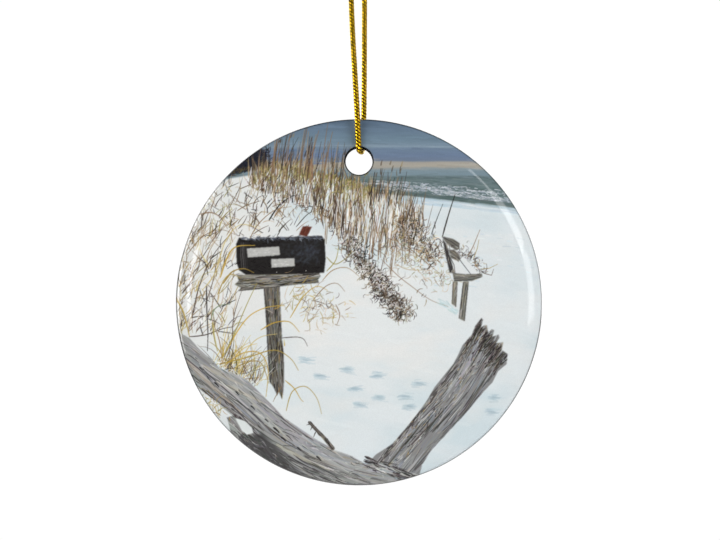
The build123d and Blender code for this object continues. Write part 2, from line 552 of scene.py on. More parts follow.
SKY_BANDS = [
    (15.0, 102, 120, 121), (23.0, 104, 122, 124), (25.0, 108, 125, 130), (25.4, 122, 142, 152),
    (26.2, 128, 147, 156), (26.6, 156, 156, 151), (27.0, 171, 165, 152), (27.7, 163, 159, 151),
    (28.05, 112, 126, 146), (29.0, 108, 125, 150), (30.4, 110, 129, 150), (30.9, 124, 144, 160),
    (31.3, 118, 138, 154), (32.2, 110, 132, 148), (34.4, 104, 124, 144), (37.0, 92, 112, 134),
]
WAVE = [(90, 108, 108), (102, 120, 120), (116, 131, 133), (82, 100, 100)]
FOAM = [(206, 208, 216), (228, 230, 236), (168, 176, 188), (188, 194, 204)]
SAND, COOL_SAND, WARM_SAND = (221, 228, 230), (202, 217, 222), (233, 231, 227)
STRAW = [(186, 162, 124), (162, 136, 100), (206, 188, 156), (136, 110, 82)]
DARK = [(44, 38, 34), (66, 54, 46), (34, 33, 36), (88, 72, 60)]
OLIVE = [(148, 138, 72), (164, 152, 88), (126, 120, 66)]
GOLD = [(188, 156, 68), (170, 146, 72), (204, 184, 114), (152, 126, 58)]
GREY = [(150, 151, 149), (126, 127, 127), (172, 172, 169), (108, 108, 108)]
BLUISH = [(126, 135, 146), (112, 120, 132), (147, 155, 164)]
TAN = [(166, 154, 134), (146, 132, 112), (188, 178, 160)]
BLACK = [(40, 37, 37), (56, 51, 49), (28, 26, 28)]
PALE = [(204, 203, 198), (188, 188, 186), (216, 214, 208)]


def paint_sky(art):
    """Slate sky with a pale streak, a purple-blue belt, a peach horizon and haze, softly mixed."""
    random = art.random
    uniform = random.uniform
    bands = np.array(SKY_BANDS, float)
    height = art.v + 0.5 * (art.noise(9, 1.6, 3) - 0.5)
    for channel in range(3):
        art.image[..., channel] = np.interp(height, bands[:, 0], bands[:, channel + 1]) / 255
    for _ in range(900):
        x, y = uniform(-36, 36), uniform(25, 37)
        tone = art.here(x, y + random.normal(0, 0.25), 0.045)
        line = bent((x, y), LEVEL + random.normal(0, 0.05), uniform(1.5, 7), 0.04)
        art.stroke(line, uniform(0.2, 0.6), tone, 0.4, 0.6)
    violet = [(94, 118, 156), (104, 124, 154)]
    art.dabs(70, art.within(-22, -4, 27.2, 30.2), LEVEL, (0.8, 3), 0, (0.2, 0.5), violet, 0.4)
    for _ in range(46):
        x = uniform(-16, 22)
        line = bent((x, 31.0 - 0.01 * x + random.normal(0, 0.12)), LEVEL + 0.02, uniform(2, 7), 0.02)
        art.stroke(line, uniform(0.12, 0.3), (140, 158, 172), 0.35, 0.5)


def shore(x):
    """Height of the sea's lower edge."""
    return 21.9 - 0.075 * (x + 0.5) - 0.0009 * (x + 0.5) ** 2


def paint_sea(art):
    """Grey-green water, broken lines of foam that run with the shore, and a dark wet edge."""
    random = art.random
    uniform = random.uniform

    def water():
        """Anywhere on the sea."""
        x = uniform(-3, 34)
        return (x, uniform(shore(x), 25.0))

    def spray():
        """In the breakers, wider to the right."""
        x = uniform(6, 34)
        return (x, shore(x) + uniform(1.0, 2.3 + 0.03 * x))

    art.dabs(520, water, art.about(LEVEL + 0.06, 0.02), (0.8, 4), 0.03, (0.1, 0.34), WAVE, 0.5, 0.5)
    for _ in range(72):
        share = random.random()
        x = uniform(-2, 30)
        end = x + uniform(3, 12)
        while x < end:
            y = shore(x) + 0.9 + share * (1.5 + 0.035 * x) + random.normal(0, 0.05)
            length = uniform(0.3, 1.3)
            if random.random() < 0.62:
                line = bent((x, y), LEVEL + 0.08 + random.normal(0, 0.1), length, random.normal(0, 0.2))
                art.stroke(line, uniform(0.08, 0.2), art.pick(FOAM), 0.72, 0.5)
            x += length * uniform(0.7, 1.5)
    art.dabs(220, spray, (1.2, 2.0), (0.15, 0.6), art.about(0, 0.8), (0.1, 0.24), FOAM, 0.6, 0.6, points=4)
    wet = [WAVE[0], WAVE[3], (112, 122, 118)]
    art.dabs(260, art.by(shore, -3, 34, 0, 0.8), LEVEL + 0.1, (0.8, 3.4), 0.02, (0.12, 0.3), wet, 0.55, 0.6)


DUNE = [
    (-40, 19), (-29, 22.6), (-26.5, 24.4), (-21, 25.2), (-14, 25.0), (-7, 23.9), (-1.5, 22.0), (6, 21.3),
    (14, 20.5), (22, 19.6), (29, 18.5), (40, 16.4), (40, -40), (-40, -40),
]


def paint_sand(art):
    """Pale beach: blue-white ground with soft cool and warm patches, and a painted pool of light over its
    middle.
    """
    random = art.random
    uniform = random.uniform
    where, cover = art.shape(DUNE, SAND, 0.12)
    cool = np.clip(art.noise(14, 5, 3, -0.22, where) * 3.0 - 1.3, 0, 1)
    art.lay(where, cover * cool * 0.8, COOL_SAND)
    warm = np.clip(art.noise(10, 5, 3, 0.1, where) * 3.0 - 1.45, 0, 1)
    middle = np.exp(-((art.u[where] / 22) ** 2) - ((art.v[where] + 3) / 16) ** 2)
    art.lay(where, cover * warm * (0.45 + 0.55 * middle), WARM_SAND)
    # A lighter middle: painted light, a soft pool of it over the centre of the sand.
    art.lay(where, cover * middle * 0.5, (236, 236, 233))
    left = np.clip((-10 - art.u[where]) / 10, 0, 1) * np.clip((art.v[where] + 12) / 8, 0, 1)
    art.lay(where, cover * left * 0.85, (231, 231, 228))
    for _ in range(1100):
        x, y = uniform(-36, 36), uniform(-36, 18)
        line = bent((x, y), LEVEL + random.normal(0.08, 0.18), uniform(1, 5), 0.1)
        art.stroke(line, uniform(0.3, 1.1), art.here(x, y + random.normal(0, 0.8), 0.012), 0.35, 0.6)
    damp = [(178, 202, 216), (198, 214, 224)]
    art.dabs(90, art.by(shore, 4, 34, 0, 1.3, -1), LEVEL + 0.11, (1.5, 5), 0.03, (0.2, 0.5), damp, 0.35, 0.6)
    ripple, right = [(198, 214, 222), (234, 236, 236)], art.within(12, 34, 3, 14)
    art.dabs(60, right, art.about(LEVEL + 0.1, 0.1), (0.5, 1.8), 0.1, (0.15, 0.4), ripple, 0.45, 0.5)


FOOTPRINTS = [
    (-10.2, -11.4), (-7.4, -14.5), (-2.0, -13.2), (-0.6, -17.1), (0.6, -20.2), (4.0, -14.5), (12.2, -16.0),
    (9.4, -18.6), (4.4, -18.8), (10.4, -20.6), (27.2, -18.8), (26.4, -21.6),
]


def paint_footprints(art):
    """Shallow prints: painted shade, blue-grey strokes in each hollow and one darker stroke in it."""
    random = art.random
    uniform = random.uniform
    for x, y in FOOTPRINTS:
        for _ in range(22):
            start = (x - 1.4 + uniform(-0.6, 1.1), y + random.normal(0, 0.30))
            line = bent(start, LEVEL + random.normal(0.02, 0.12), uniform(0.9, 2.4), 0.12)
            tone = art.pick([(184, 203, 210), (192, 208, 214), (172, 193, 202)], 0.02)
            art.stroke(line, uniform(0.18, 0.4), tone, 0.4, 0.5)
        line = bent((x - 0.9, y + 0.1), LEVEL + 0.05, uniform(1.0, 1.9), 0.2)
        art.stroke(line, 0.26, (150, 172, 184), 0.45, 0.3)


def blades(art, count, place, height, lean, spread, bend, width, tones, alpha=0.9):
    """Many blades: place gives each one's foot; height and width are ranges."""
    turn, bend = art.about(lean, spread), art.about(0, bend)
    art.dabs(count, place, turn, height, bend, width, tones, alpha, 0.3, 0.06)


def curls(art, count, place, size, width, tones, alpha=0.9):
    """Short hooked strokes."""
    random = art.random
    uniform = random.uniform
    for _ in range(count):
        turn = uniform(0.4, 3.0) * random.choice([-1, 1])
        line = bent(place(), uniform(0, 2 * math.pi), uniform(*size), turn, 8)
        art.stroke(line, uniform(*width), art.pick(tones, 0.08), alpha, 0.35)


SHRUBS = [
    (-32.0, 20.0), (-28.0, 27.4), (-20.2, 31.6), (-18.4, 29.4), (-18.2, 27.4), (-19.6, 26.4), (-23.3, 25.8),
    (-26.6, 24.9),
]


def paint_shrubs(art):
    """A dark thicket on the dune at the upper left."""
    random = art.random
    art.shape(SHRUBS, (36, 38, 48), 0.12)

    def edge():
        """Along the thicket's lower edge."""
        x = random.uniform(-27.5, -18.2)
        return (x, 25.0 + 0.21 * (x + 26) + abs(random.normal(0, 0.7)))

    top = art.within(-20.2, -17.6, 26.4, 30.4)

    blades(art, 120, edge, (0.5, 1.6), 0.2, 0.9, 0.6, (0.12, 0.3), [(30, 30, 38), (52, 54, 58)])
    blades(art, 60, edge, (0.4, 1.2), 0.2, 0.9, 0.6, (0.12, 0.26), [(88, 80, 52), (70, 62, 50)], 0.8)
    blades(art, 90, top, (0.4, 1.5), 0.1, 1.0, 0.6, (0.12, 0.26), [(30, 32, 42), (60, 62, 70)], 0.85)


def crest(x):
    """Height of the dune's grassy crest."""
    return float(np.interp(x, [-21, -13.5, -3, 1.5, 5.5, 9, 13], [26.2, 26.4, 24.2, 22.6, 21.6, 19.6, 17]))


def foot(x):
    """Height where the grass under the crest ends."""
    across = [-21, -14, -9, -5, -2, 2, 6, 10, 13]
    return float(np.interp(x, across, [22.0, 19.4, 17.0, 14.2, 12.0, 10.4, 9.6, 11.0, 13]))


FRESH_TUFTS = [
    (-8.0, 23.6), (-6.4, 22.9), (-3.6, 21.4), (-2.6, 21.0), (0.6, 20.4), (-14.6, 25.2), (-1.2, 19.4),
]


def paint_far_grass(art):
    """Fine stems along the crest, against the sky, and the olive tufts at their feet."""
    random = art.random
    uniform = random.uniform
    fine = [(112, 98, 82), (84, 72, 62), (150, 132, 102), (66, 58, 52)]

    def by_crest(left, right, drop):
        """A place function: up to drop below the crest."""
        return art.by(crest, left, right, 0, drop, -1)

    tall = fine[:2] + DARK[1:2]
    blades(art, 200, by_crest(-20, 8, 2.4), (1.0, 3.0), 0.06, 0.16, 0.2, (0.10, 0.22), STRAW + fine, 0.8)
    blades(art, 56, by_crest(-19, 3, 2.4), (2.6, 5.6), 0.04, 0.16, 0.16, (0.09, 0.17), fine, 0.8)
    blades(art, 30, by_crest(-18, -3, 1.5), (5, 9.2), 0.10, 0.12, 0.10, (0.13, 0.22), tall, 0.85)
    blades(art, 26, by_crest(-18, 0, 1.5), (3, 7.6), 0.02, 0.3, 0.2, (0.10, 0.18), STRAW, 0.7)
    blades(art, 34, by_crest(1, 12, 3), (2.4, 5.6), 0.16, 0.07, 0.06, (0.10, 0.20), fine, 0.8)

    def tuft():
        """A little under the crest."""
        x = uniform(-19, 3)
        return (x, crest(x) - abs(random.normal(0, 0.9)))

    green = OLIVE + STRAW[:2] + fine[:1]
    art.dabs(300, tuft, (-0.8, 1.0), (0.3, 1.0), 0.6, (0.16, 0.36), green, 0.7, 0.5, 0.08, 4)
    fresh = [(170, 162, 92), (150, 146, 78)]
    for x, y in FRESH_TUFTS:
        art.dabs(16, art.near(x, y, 0.7, 0.5), (-1.0, 1.0), 0.7, 0.4, 0.26, fresh, 0.6, 0.5, points=4)
    head = art.by(crest, -17, 10, 2, 7)
    art.dabs(34, head, art.about(0.1, 0.15), (0.7, 1.5), 0.2, (0.22, 0.34), fine, 0.7, 0.4, points=4)


def paint_dense_grass(art):
    """The stand below the crest: straw, brown and black uprights with sand showing between them."""
    random = art.random
    uniform = random.uniform

    def in_stand(low=0.0, high=1.0, left=-20.0):
        """A place function: between the foot, 0, and the crest, 1."""
        def place():
            x = left + (11.5 - left) * random.random() ** 1.3 + random.normal(0, 1.1)
            return (x, foot(x) + (crest(x) - foot(x)) * uniform(low, high) - 0.6)

        return place

    gaps = [(228, 230, 230), (234, 231, 226), (222, 222, 220)]
    rust = [(156, 130, 98), (134, 108, 80), (118, 96, 74)]
    blades(art, 200, in_stand(0.15), (1.4, 4.0), 0.05, 0.12, 0.14, (0.14, 0.32), STRAW[:3], 0.7)
    blades(art, 190, in_stand(0, 0.85, -9), (1.2, 4.0), 0.06, 0.14, 0.16, (0.14, 0.36), STRAW + rust, 0.8)
    blades(art, 190, in_stand(0, 0.8), (0.9, 3.2), 0.05, 0.14, 0.2, (0.18, 0.40), gaps, 0.85)
    blades(art, 170, in_stand(0.1), (1.0, 3.8), 0.07, 0.16, 0.2, (0.10, 0.24), rust + DARK[3:], 0.85)
    blades(art, 125, in_stand(0.1), (0.8, 4.4), 0.08, 0.22, 0.3, (0.09, 0.22), DARK, 0.9)
    blades(art, 120, in_stand(0.1), (0.7, 2.2), 0.05, 0.3, 0.3, (0.14, 0.32), gaps, 0.85)
    blades(art, 90, in_stand(0.3), (0.6, 1.8), 0.1, 0.5, 0.5, (0.14, 0.28), OLIVE, 0.55)
    curls(art, 120, in_stand(0, 0.4, -14), (0.6, 1.8), (0.10, 0.2), DARK + rust, 0.75)
    stems = [(134, 106, 80), (104, 82, 62), (158, 132, 100), (66, 56, 49)]
    blades(art, 110, in_stand(0.2, 1.0), (1.6, 8), 0.07, 0.13, 0.12, (0.10, 0.20), stems, 0.85)
    deep = stems[1:] + DARK[:2]
    blades(art, 80, in_stand(0.0, 0.7, -10), (1.4, 6), 0.09, 0.14, 0.14, (0.10, 0.22), deep, 0.85)
    blades(art, 60, in_stand(0.0, 0.9, -4), (1.2, 4), 0.05, 0.12, 0.10, (0.16, 0.36), gaps, 0.8)

    def below_crest():
        """Round a line below the crest."""
        x = uniform(-21, 2)
        return (x, crest(x) - 1.2 + random.normal(0, 1.3))

    lone, tall = art.by(foot, -7, 10, -2, 5, -1), art.by(crest, -17.5, -3.5, 0, 3, -1)
    art.dabs(46, lone, art.about(0.08, 0.07), (4, 9), 0.06, (0.1, 0.22), stems + rust[1:], 0.85, 0.4)
    tufts = [(164, 154, 98), (148, 139, 84), (128, 119, 72), (178, 168, 120)]
    lean = art.about(0.4, 0.4)
    art.dabs(170, below_crest, (-0.9, 1.0), (0.4, 1.2), lean, (0.14, 0.3), tufts, 0.75, 0.4, points=4)
    art.dabs(22, tall, art.about(0.10, 0.07), (7.5, 11.5), 0.08, (0.13, 0.2), stems, 0.9, 0.45)


def line_place(random, start, end, spread):
    """Random points round a line."""

    def place():
        share = random.random()
        side = random.normal(0, spread)
        x = start[0] + (end[0] - start[0]) * share + side
        y = start[1] + (end[1] - start[1]) * share + side * 0.6 + random.normal(0, spread * 0.5)
        return (x, y)

    return place


def paint_clumps(art):
    """Two tangled clumps that run down to the right, loose straw between them, and stalks over them."""
    random = art.random
    first = line_place(random, (-3.0, 12.6), (9.6, -3.2), 0.9)
    lower = line_place(random, (2.5, 3.6), (9.6, -3.0), 0.9)
    second = line_place(random, (8.0, 16.4), (15.6, 8.2), 1.2)
    straw = line_place(random, (6.5, 12.6), (17.5, 3.6), 1.6)
    soft = [(124, 108, 90), (150, 134, 112), (98, 86, 74)]
    curls(art, 240, first, (0.5, 1.8), (0.10, 0.22), soft + TAN)
    curls(art, 330, first, (0.4, 1.6), (0.09, 0.20), BLACK + DARK + soft)
    curls(art, 150, lower, (0.4, 1.7), (0.09, 0.20), BLACK + DARK + soft)
    blades(art, 150, first, (0.5, 2.2), 0.3, 0.7, 0.6, (0.09, 0.19), soft + DARK, 0.85)
    curls(art, 80, first, (0.5, 1.4), (0.14, 0.28), [(224, 224, 222), (206, 204, 200)], 0.8)
    curls(art, 150, second, (0.6, 1.8), (0.10, 0.2), STRAW + soft)
    curls(art, 100, second, (0.5, 1.5), (0.09, 0.19), DARK + GREY[1:2] + soft[2:])
    blades(art, 120, second, (0.5, 1.9), 0.2, 0.5, 0.5, (0.10, 0.2), DARK + GREY[1:2] + soft[1:], 0.9)
    curls(art, 60, second, (0.5, 1.4), (0.10, 0.2), [(214, 218, 218)], 0.8)
    curls(art, 190, straw, (0.5, 1.8), (0.08, 0.18), STRAW + TAN + [(196, 168, 128)], 0.75)
    curls(art, 70, straw, (0.5, 1.6), (0.08, 0.18), DARK + OLIVE, 0.7)
    curls(art, 40, straw, (0.5, 1.6), (0.10, 0.2), [(190, 212, 206), (214, 218, 206)], 0.6)
    for points in (
        [(4.4, 8.6), (7.6, 5.4), (10.4, 3.2), (14.0, 0.6), (17.6, -0.8)],
        [(9.2, 11.4), (13.0, 8.2), (16.6, 5.2)], [(7.0, 7.8), (9.4, 6.6), (12.6, 6.4)],
    ):
        art.stroke(smooth(points), 0.16, art.pick(STRAW), 0.8, 0.5)
    for x, y, lean, length, width in (
        (3.9, 21.5, 0.12, 5.1, 0.2), (7.3, 19.5, 0.18, 5.5, 0.2), (8.3, 20.5, 0.5, 3.0, 0.16),
        (5.6, 18.6, 0.2, 6.2, 0.18), (9.3, 16.1, 0.29, 5.7, 0.2), (11.6, 15.6, 0.22, 6.0, 0.18),
        (14.3, 13.5, 0.33, 6.4, 0.18), (16.5, 13.1, 0.26, 8.7, 0.3), (13.0, 12.6, 0.2, 7.0, 0.14),
        (2.2, 19.2, 0.1, 6.6, 0.22), (10.6, 11.2, 0.2, 7.4, 0.16), (1.0, 8.0, 0.14, 7.2, 0.2),
        (4.2, 5.6, 0.2, 6.6, 0.16), (-2.2, 9.4, 0.08, 6.4, 0.2),
    ):
        art.stroke(bent((x, y), lean, length, 0.08), width, art.pick(DARK + [(104, 90, 82)]), 0.88, 0.4)


def paint_left_twigs(art):
    """Crossing stems and arching twigs over the open sand at the left, thinning towards the mailbox."""
    random = art.random
    uniform = random.uniform

    def at_left(right, low, high):
        """A place function: from the rim to right, thinning, between two heights."""
        def place():
            y = uniform(low, high)
            edge = -math.sqrt(max(36.3**2 - y**2, 0))
            return (edge + (right - edge) * random.random() ** 1.15, y)

        return place

    brown = [(156, 130, 96), (126, 102, 76), (182, 160, 126), (98, 80, 64)]
    upper = at_left(-12, 13, 24)
    lower = at_left(-24.5, -7, 14)
    rim = at_left(-29, 0, 14)
    blades(art, 52, upper, (1.2, 4.2), -0.1, 0.7, 0.5, (0.09, 0.18), brown + STRAW + OLIVE[:1], 0.8)
    blades(art, 60, upper, (1.0, 4.2), 0.35, 0.45, 0.5, (0.09, 0.22), DARK + brown[3:], 0.9)
    blades(art, 20, upper, (0.8, 2.6), -0.6, 0.3, 0.4, (0.12, 0.24), DARK, 0.9)
    blades(art, 56, lower, (1.4, 4.6), 0.25, 0.5, 0.5, (0.09, 0.2), brown + GREY[:1] + STRAW, 0.8)
    blades(art, 74, lower, (1.0, 3.8), 0.3, 0.5, 0.5, (0.10, 0.26), DARK, 0.9)
    blades(art, 44, rim, (1.0, 3.6), 0.2, 0.5, 0.5, (0.10, 0.22), brown + DARK[1:2], 0.8)
    blades(art, 52, lower, (1.6, 5.6), 0.3, 0.45, 0.8, (0.12, 0.24), GOLD + OLIVE[:2] + STRAW[:3], 0.8)
    blades(art, 40, lower, (0.8, 3.0), 0.1, 0.6, 0.6, (0.14, 0.3), [(236, 236, 234)], 0.7)
    curls(art, 40, upper, (0.6, 1.8), (0.10, 0.18), DARK + STRAW, 0.7)
    blades(art, 52, lower, (1.6, 5.0), 0.42, 0.2, 0.35, (0.10, 0.2), brown + STRAW + GOLD[3:], 0.85)
    blades(art, 46, upper, (1.4, 4.6), 0.42, 0.22, 0.35, (0.10, 0.2), brown + DARK[:2] + OLIVE[:1], 0.85)
    for _ in range(9):
        x, y = uniform(-27, -15), uniform(14.5, 22)
        fork = uniform(0.5, 1.1)
        tone = art.pick(brown + DARK[1:2])
        art.stroke(bent((x - 0.9, y - 1.6), fork, 3.4, 0.3), 0.18, tone, 0.85, 0.4)
        art.stroke(bent((x + 0.8, y - 1.4), -fork, 3.0, -0.3), 0.18, tone, 0.85, 0.4)
    rows = [
        ([(-17.8, 16.4), (-15.6, 19.4), (-13.2, 21.0), (-10.4, 21.4)], 0.26, DARK[2]),
        ([(-21.8, 12.2), (-20.0, 15.4), (-16.8, 18.2), (-13.4, 19.0)], 0.2, STRAW[3]),
        ([(-32.2, 17.4), (-29.2, 17.8), (-27.2, 16.6), (-26.0, 14.6)], 0.26, STRAW[3]),
        ([(-34.2, 9.4), (-31.0, 13.0), (-27.4, 14.4), (-24.4, 13.4)], 0.18, brown[1]),
        ([(-11.6, 19.2), (-9.0, 18.8), (-7.4, 16.8), (-7.0, 14.6)], 0.2, DARK[1]),
        ([(-8.6, 19.6), (-5.2, 17.0), (-4.4, 13.8)], 0.2, DARK[1]),
        ([(-12.4, 15.0), (-10.0, 17.6), (-7.6, 18.4)], 0.18, DARK[0]),
        ([(-33.0, -3.0), (-31.6, 3.2), (-28.8, 9.4), (-25.4, 13.6)], 0.22, DARK[1]),
        ([(-30.6, -1.0), (-28.8, 4.6), (-27.8, 10.8)], 0.2, brown[3]),
        ([(-34.8, 2.0), (-32.0, 6.4), (-30.6, 12.0)], 0.18, brown[1]),
    ]
    art.arcs(rows, 0.88, 0.35)


MAILBOX = [
    (-23.7, 12.9), (-22.4, 12.4), (-19.0, 12.7), (-13.0, 13.0), (-7.4, 13.2), (-6.8, 12.4), (-6.6, 8.6),
    (-6.9, 5.9), (-14.0, 5.6), (-22.4, 5.5), (-23.7, 6.4), (-24.2, 7.8), (-24.3, 11.6),
]


def paint_mailbox(art):
    """A plain black mailbox with painted shade at its left, a painted sheen at its upper right and a painted
    highlight along its top, a red flag, two blank labels and its nails.
    """
    random = art.random
    uniform = random.uniform
    art.shape([(-11.1, 15.1), (-9.3, 15.0), (-10.3, 13.0), (-11.9, 13.4)], (98, 52, 42))
    flag, reds = art.within(-11.4, -10.0, 13.6, 14.8), [(122, 70, 56), (84, 44, 38)]
    art.dabs(16, flag, 0.5, 0.7, 0, 0.2, reds, 0.6, 0.6, points=3)
    art.shape(MAILBOX, (38, 36, 35), 0.06)
    # Base strokes, darker at the left and bottom and lighter at the upper right: painted shade and painted
    # sheen.
    for _ in range(300):
        x, y = uniform(-24.0, -8.0), uniform(5.9, 12.8)
        shade = (30, 27, 27) if x < -16 or y < 8 else (48, 48, 50)
        line = bent((x, y), LEVEL + random.normal(0, 0.4), uniform(0.3, 1.4), 0.2, 4)
        art.stroke(line, uniform(0.2, 0.5), art.varied(shade, 0.12), 0.45, 0.6)
    # Blue-grey strokes round the right half: a painted sheen.
    for _ in range(150):
        x, y = random.normal(-10.2, 1.7), random.normal(9.8, 1.5)
        if -15 < x < -8.0 and 6.6 < y < 12.3:
            line = bent((x, y), random.normal(0.2, 0.6), uniform(0.3, 1.1), 0.2, 4)
            art.stroke(line, 0.4, art.pick([(66, 72, 84), (56, 60, 70), (78, 84, 96)]), 0.2, 0.6)
    # Blue-grey and pale strokes along the top edge: a painted highlight where the top catches the light.
    for _ in range(230):
        x = uniform(-23.4, -7.7)
        y = 12.75 + 0.008 * (x + 15) + random.normal(0, 0.16)
        line = bent((x, y), LEVEL + random.normal(0.2, 0.5), uniform(0.2, 0.9), 0.3, 4)
        tone = art.pick([(112, 120, 134), (84, 90, 104), (150, 158, 170), (58, 58, 64)])
        art.stroke(line, uniform(0.10, 0.24), tone, 0.6, 0.4)
    for x, shade in ((-23.3, 92), (-22.9, 112), (-22.55, 78), (-22.2, 56)):
        tone = (shade, shade - 2, shade - 2)
        art.stroke([(x, 11.8), (x - 0.1, 9.4), (x + 0.15, 6.6)], 0.26, tone, 0.6, 0.7)
    for outline in (
        [(-22.2, 10.7), (-15.8, 11.1), (-15.6, 9.4), (-22.0, 8.9)],
        [(-17.4, 8.6), (-12.8, 8.8), (-12.7, 7.2), (-17.3, 6.9)],
    ):
        art.shape(outline, (196, 196, 192), 0.06, 0.94)

    def on_label():
        """On one of the two labels."""
        low = random.random() < 0.45
        x = uniform(-17.0, -13.4) if low else uniform(-21.8, -16.4)
        return (x, uniform(7.2, 8.4) if low else uniform(9.2, 10.7))

    paper = [(216, 216, 212), (168, 168, 166), (188, 188, 184)]
    art.dabs(110, on_label, 1.5, (0.2, 0.7), 0, 0.22, paper, 0.5, points=3)
    for x, y in ((-16.3, 6.0), (-10.5, 6.3)):
        art.stroke([(x, y), (x + 0.1, y)], 0.3, (178, 176, 170))


class Plank:
    """A wooden piece along a line of points: grain strokes follow it."""

    def __init__(self, art, line):
        self.art = art
        self.line = np.array(line, float)
        spans = np.linalg.norm(np.diff(self.line, axis=0), axis=1)
        self.at = np.concatenate([[0], np.cumsum(spans)])
        self.length = self.at[-1]

    def place(self, s, t):
        """The point s along the line and t to its left."""
        ahead, here, behind = (
            np.array([np.interp(s + shift, self.at, self.line[:, k]) for k in (0, 1)])
            for shift in (0.4, 0, -0.4)
        )
        heading = (ahead - behind) / max(np.linalg.norm(ahead - behind), 1e-6)
        return here + t * np.array([-heading[1], heading[0]])

    def grain(self, count, reach, length, width, tones, alpha=0.7, wander=0.12, tip=0.3):
        """Strokes with the grain, between reach[0] and reach[1] across."""
        random = self.art.random
        for _ in range(count):
            s = random.uniform(-0.5, self.length)
            t = random.uniform(*reach)
            run = random.uniform(*length)
            drift = random.normal(0, wander)
            swing = 0.09 * math.sin(1.7 * t + 0.8 * s)
            points = [
                self.place(s + run * share, t + drift * share + swing * math.sin(4 * share + s))
                for share in (0, 0.25, 0.5, 0.75, 1)
            ]
            self.art.stroke(points, random.uniform(*width), self.art.pick(tones, 0.07), alpha, tip)


def paint_inside(art, outline, edge, work):
    """Does work, then keeps only what lies inside the outline."""
    corners = np.array(outline)
    where = art.window(corners.min(0) - 3, corners.max(0) + 3)
    before = art.image[where].copy()
    work()
    cover = blurred(art.inside(outline, where).astype(float), edge / CELL)[..., None]
    art.image[where] = before + (art.image[where] - before) * cover


BOARD = [
    (-24.3, 5.6), (-22, 5.5), (-16, 5.9), (-11.4, 6.3), (-8.0, 6.3), (-7.6, 5.2), (-8.1, 4.6), (-7.9, 3.9),
    (-12.0, 3.6), (-15.6, 3.2), (-18.8, 2.7), (-23.9, 2.2), (-23.4, 2.9), (-24.6, 3.6), (-23.8, 4.4),
]
POST = [
    (-18.9, 3.1), (-15.7, 3.3), (-15.4, -3.5), (-15.2, -7.5), (-14.9, -9.8), (-14.8, -15.8), (-14.9, -17.2),
    (-15.2, -19.2), (-15.9, -17.7), (-16.2, -18.4), (-16.9, -16.8), (-17.7, -15.7), (-18.1, -9.8),
    (-18.4, -3.5),
]


def paint_post(art):
    """The mailbox's weathered post and board, with painted shade at their edges and a painted highlight on
    the board's top.
    """

    def wood(line, half_width, base):
        """Grain in four layers, from broad to fine."""
        plank = Plank(art, line)
        reach = (-half_width, half_width)
        plank.grain(120, reach, (1, 4), (0.2, 0.45), base, 0.6)
        plank.grain(110, reach, (0.8, 3.5), (0.08, 0.22), GREY + BLUISH[:1] + PALE[1:2], 0.65)
        plank.grain(50, reach, (0.5, 2.5), (0.10, 0.24), [TAN[1], GOLD[3], (150, 134, 84)], 0.6)
        plank.grain(110, reach, (0.8, 3.5), (0.07, 0.18), BLACK, 0.8)

    def post_work():
        art.shape(POST, (104, 100, 92))
        wood([(-17.4, 4), (-16.9, -3.5), (-16.5, -10), (-16.1, -20)], 1.8, [(94, 90, 84), (122, 118, 108)])
        # Darker strokes down both edges: painted shade on the post's sides.
        art.stroke([(-18.8, 3), (-18.3, -3.5), (-18.0, -9.8), (-17.6, -15.7)], 0.35, (54, 52, 52), 0.7, 0.9)
        art.stroke([(-15.6, 3), (-15.3, -3.5), (-14.9, -9.8), (-14.8, -15.7)], 0.28, (70, 66, 62), 0.6, 0.9)

    def board_work():
        art.shape(BOARD, (130, 127, 118))
        wood([(-26, 3.5), (-16, 4.3), (-6, 5.0)], 1.3, [(112, 110, 104), (146, 142, 128)])
        # A dark line along the lower edge and a pale one along the top: painted shade under the board and a
        # painted highlight on its top.
        art.stroke([(-24.4, 2.3), (-15.6, 3.2), (-8, 4.0)], 0.26, (66, 62, 60), 0.7, 0.9)
        art.stroke([(-23.4, 4.9), (-15.6, 5.4), (-8, 5.9)], 0.2, (160, 156, 146), 0.5, 0.9)

    paint_inside(art, POST, 0.06, post_work)
    paint_inside(art, BOARD, 0.06, board_work)


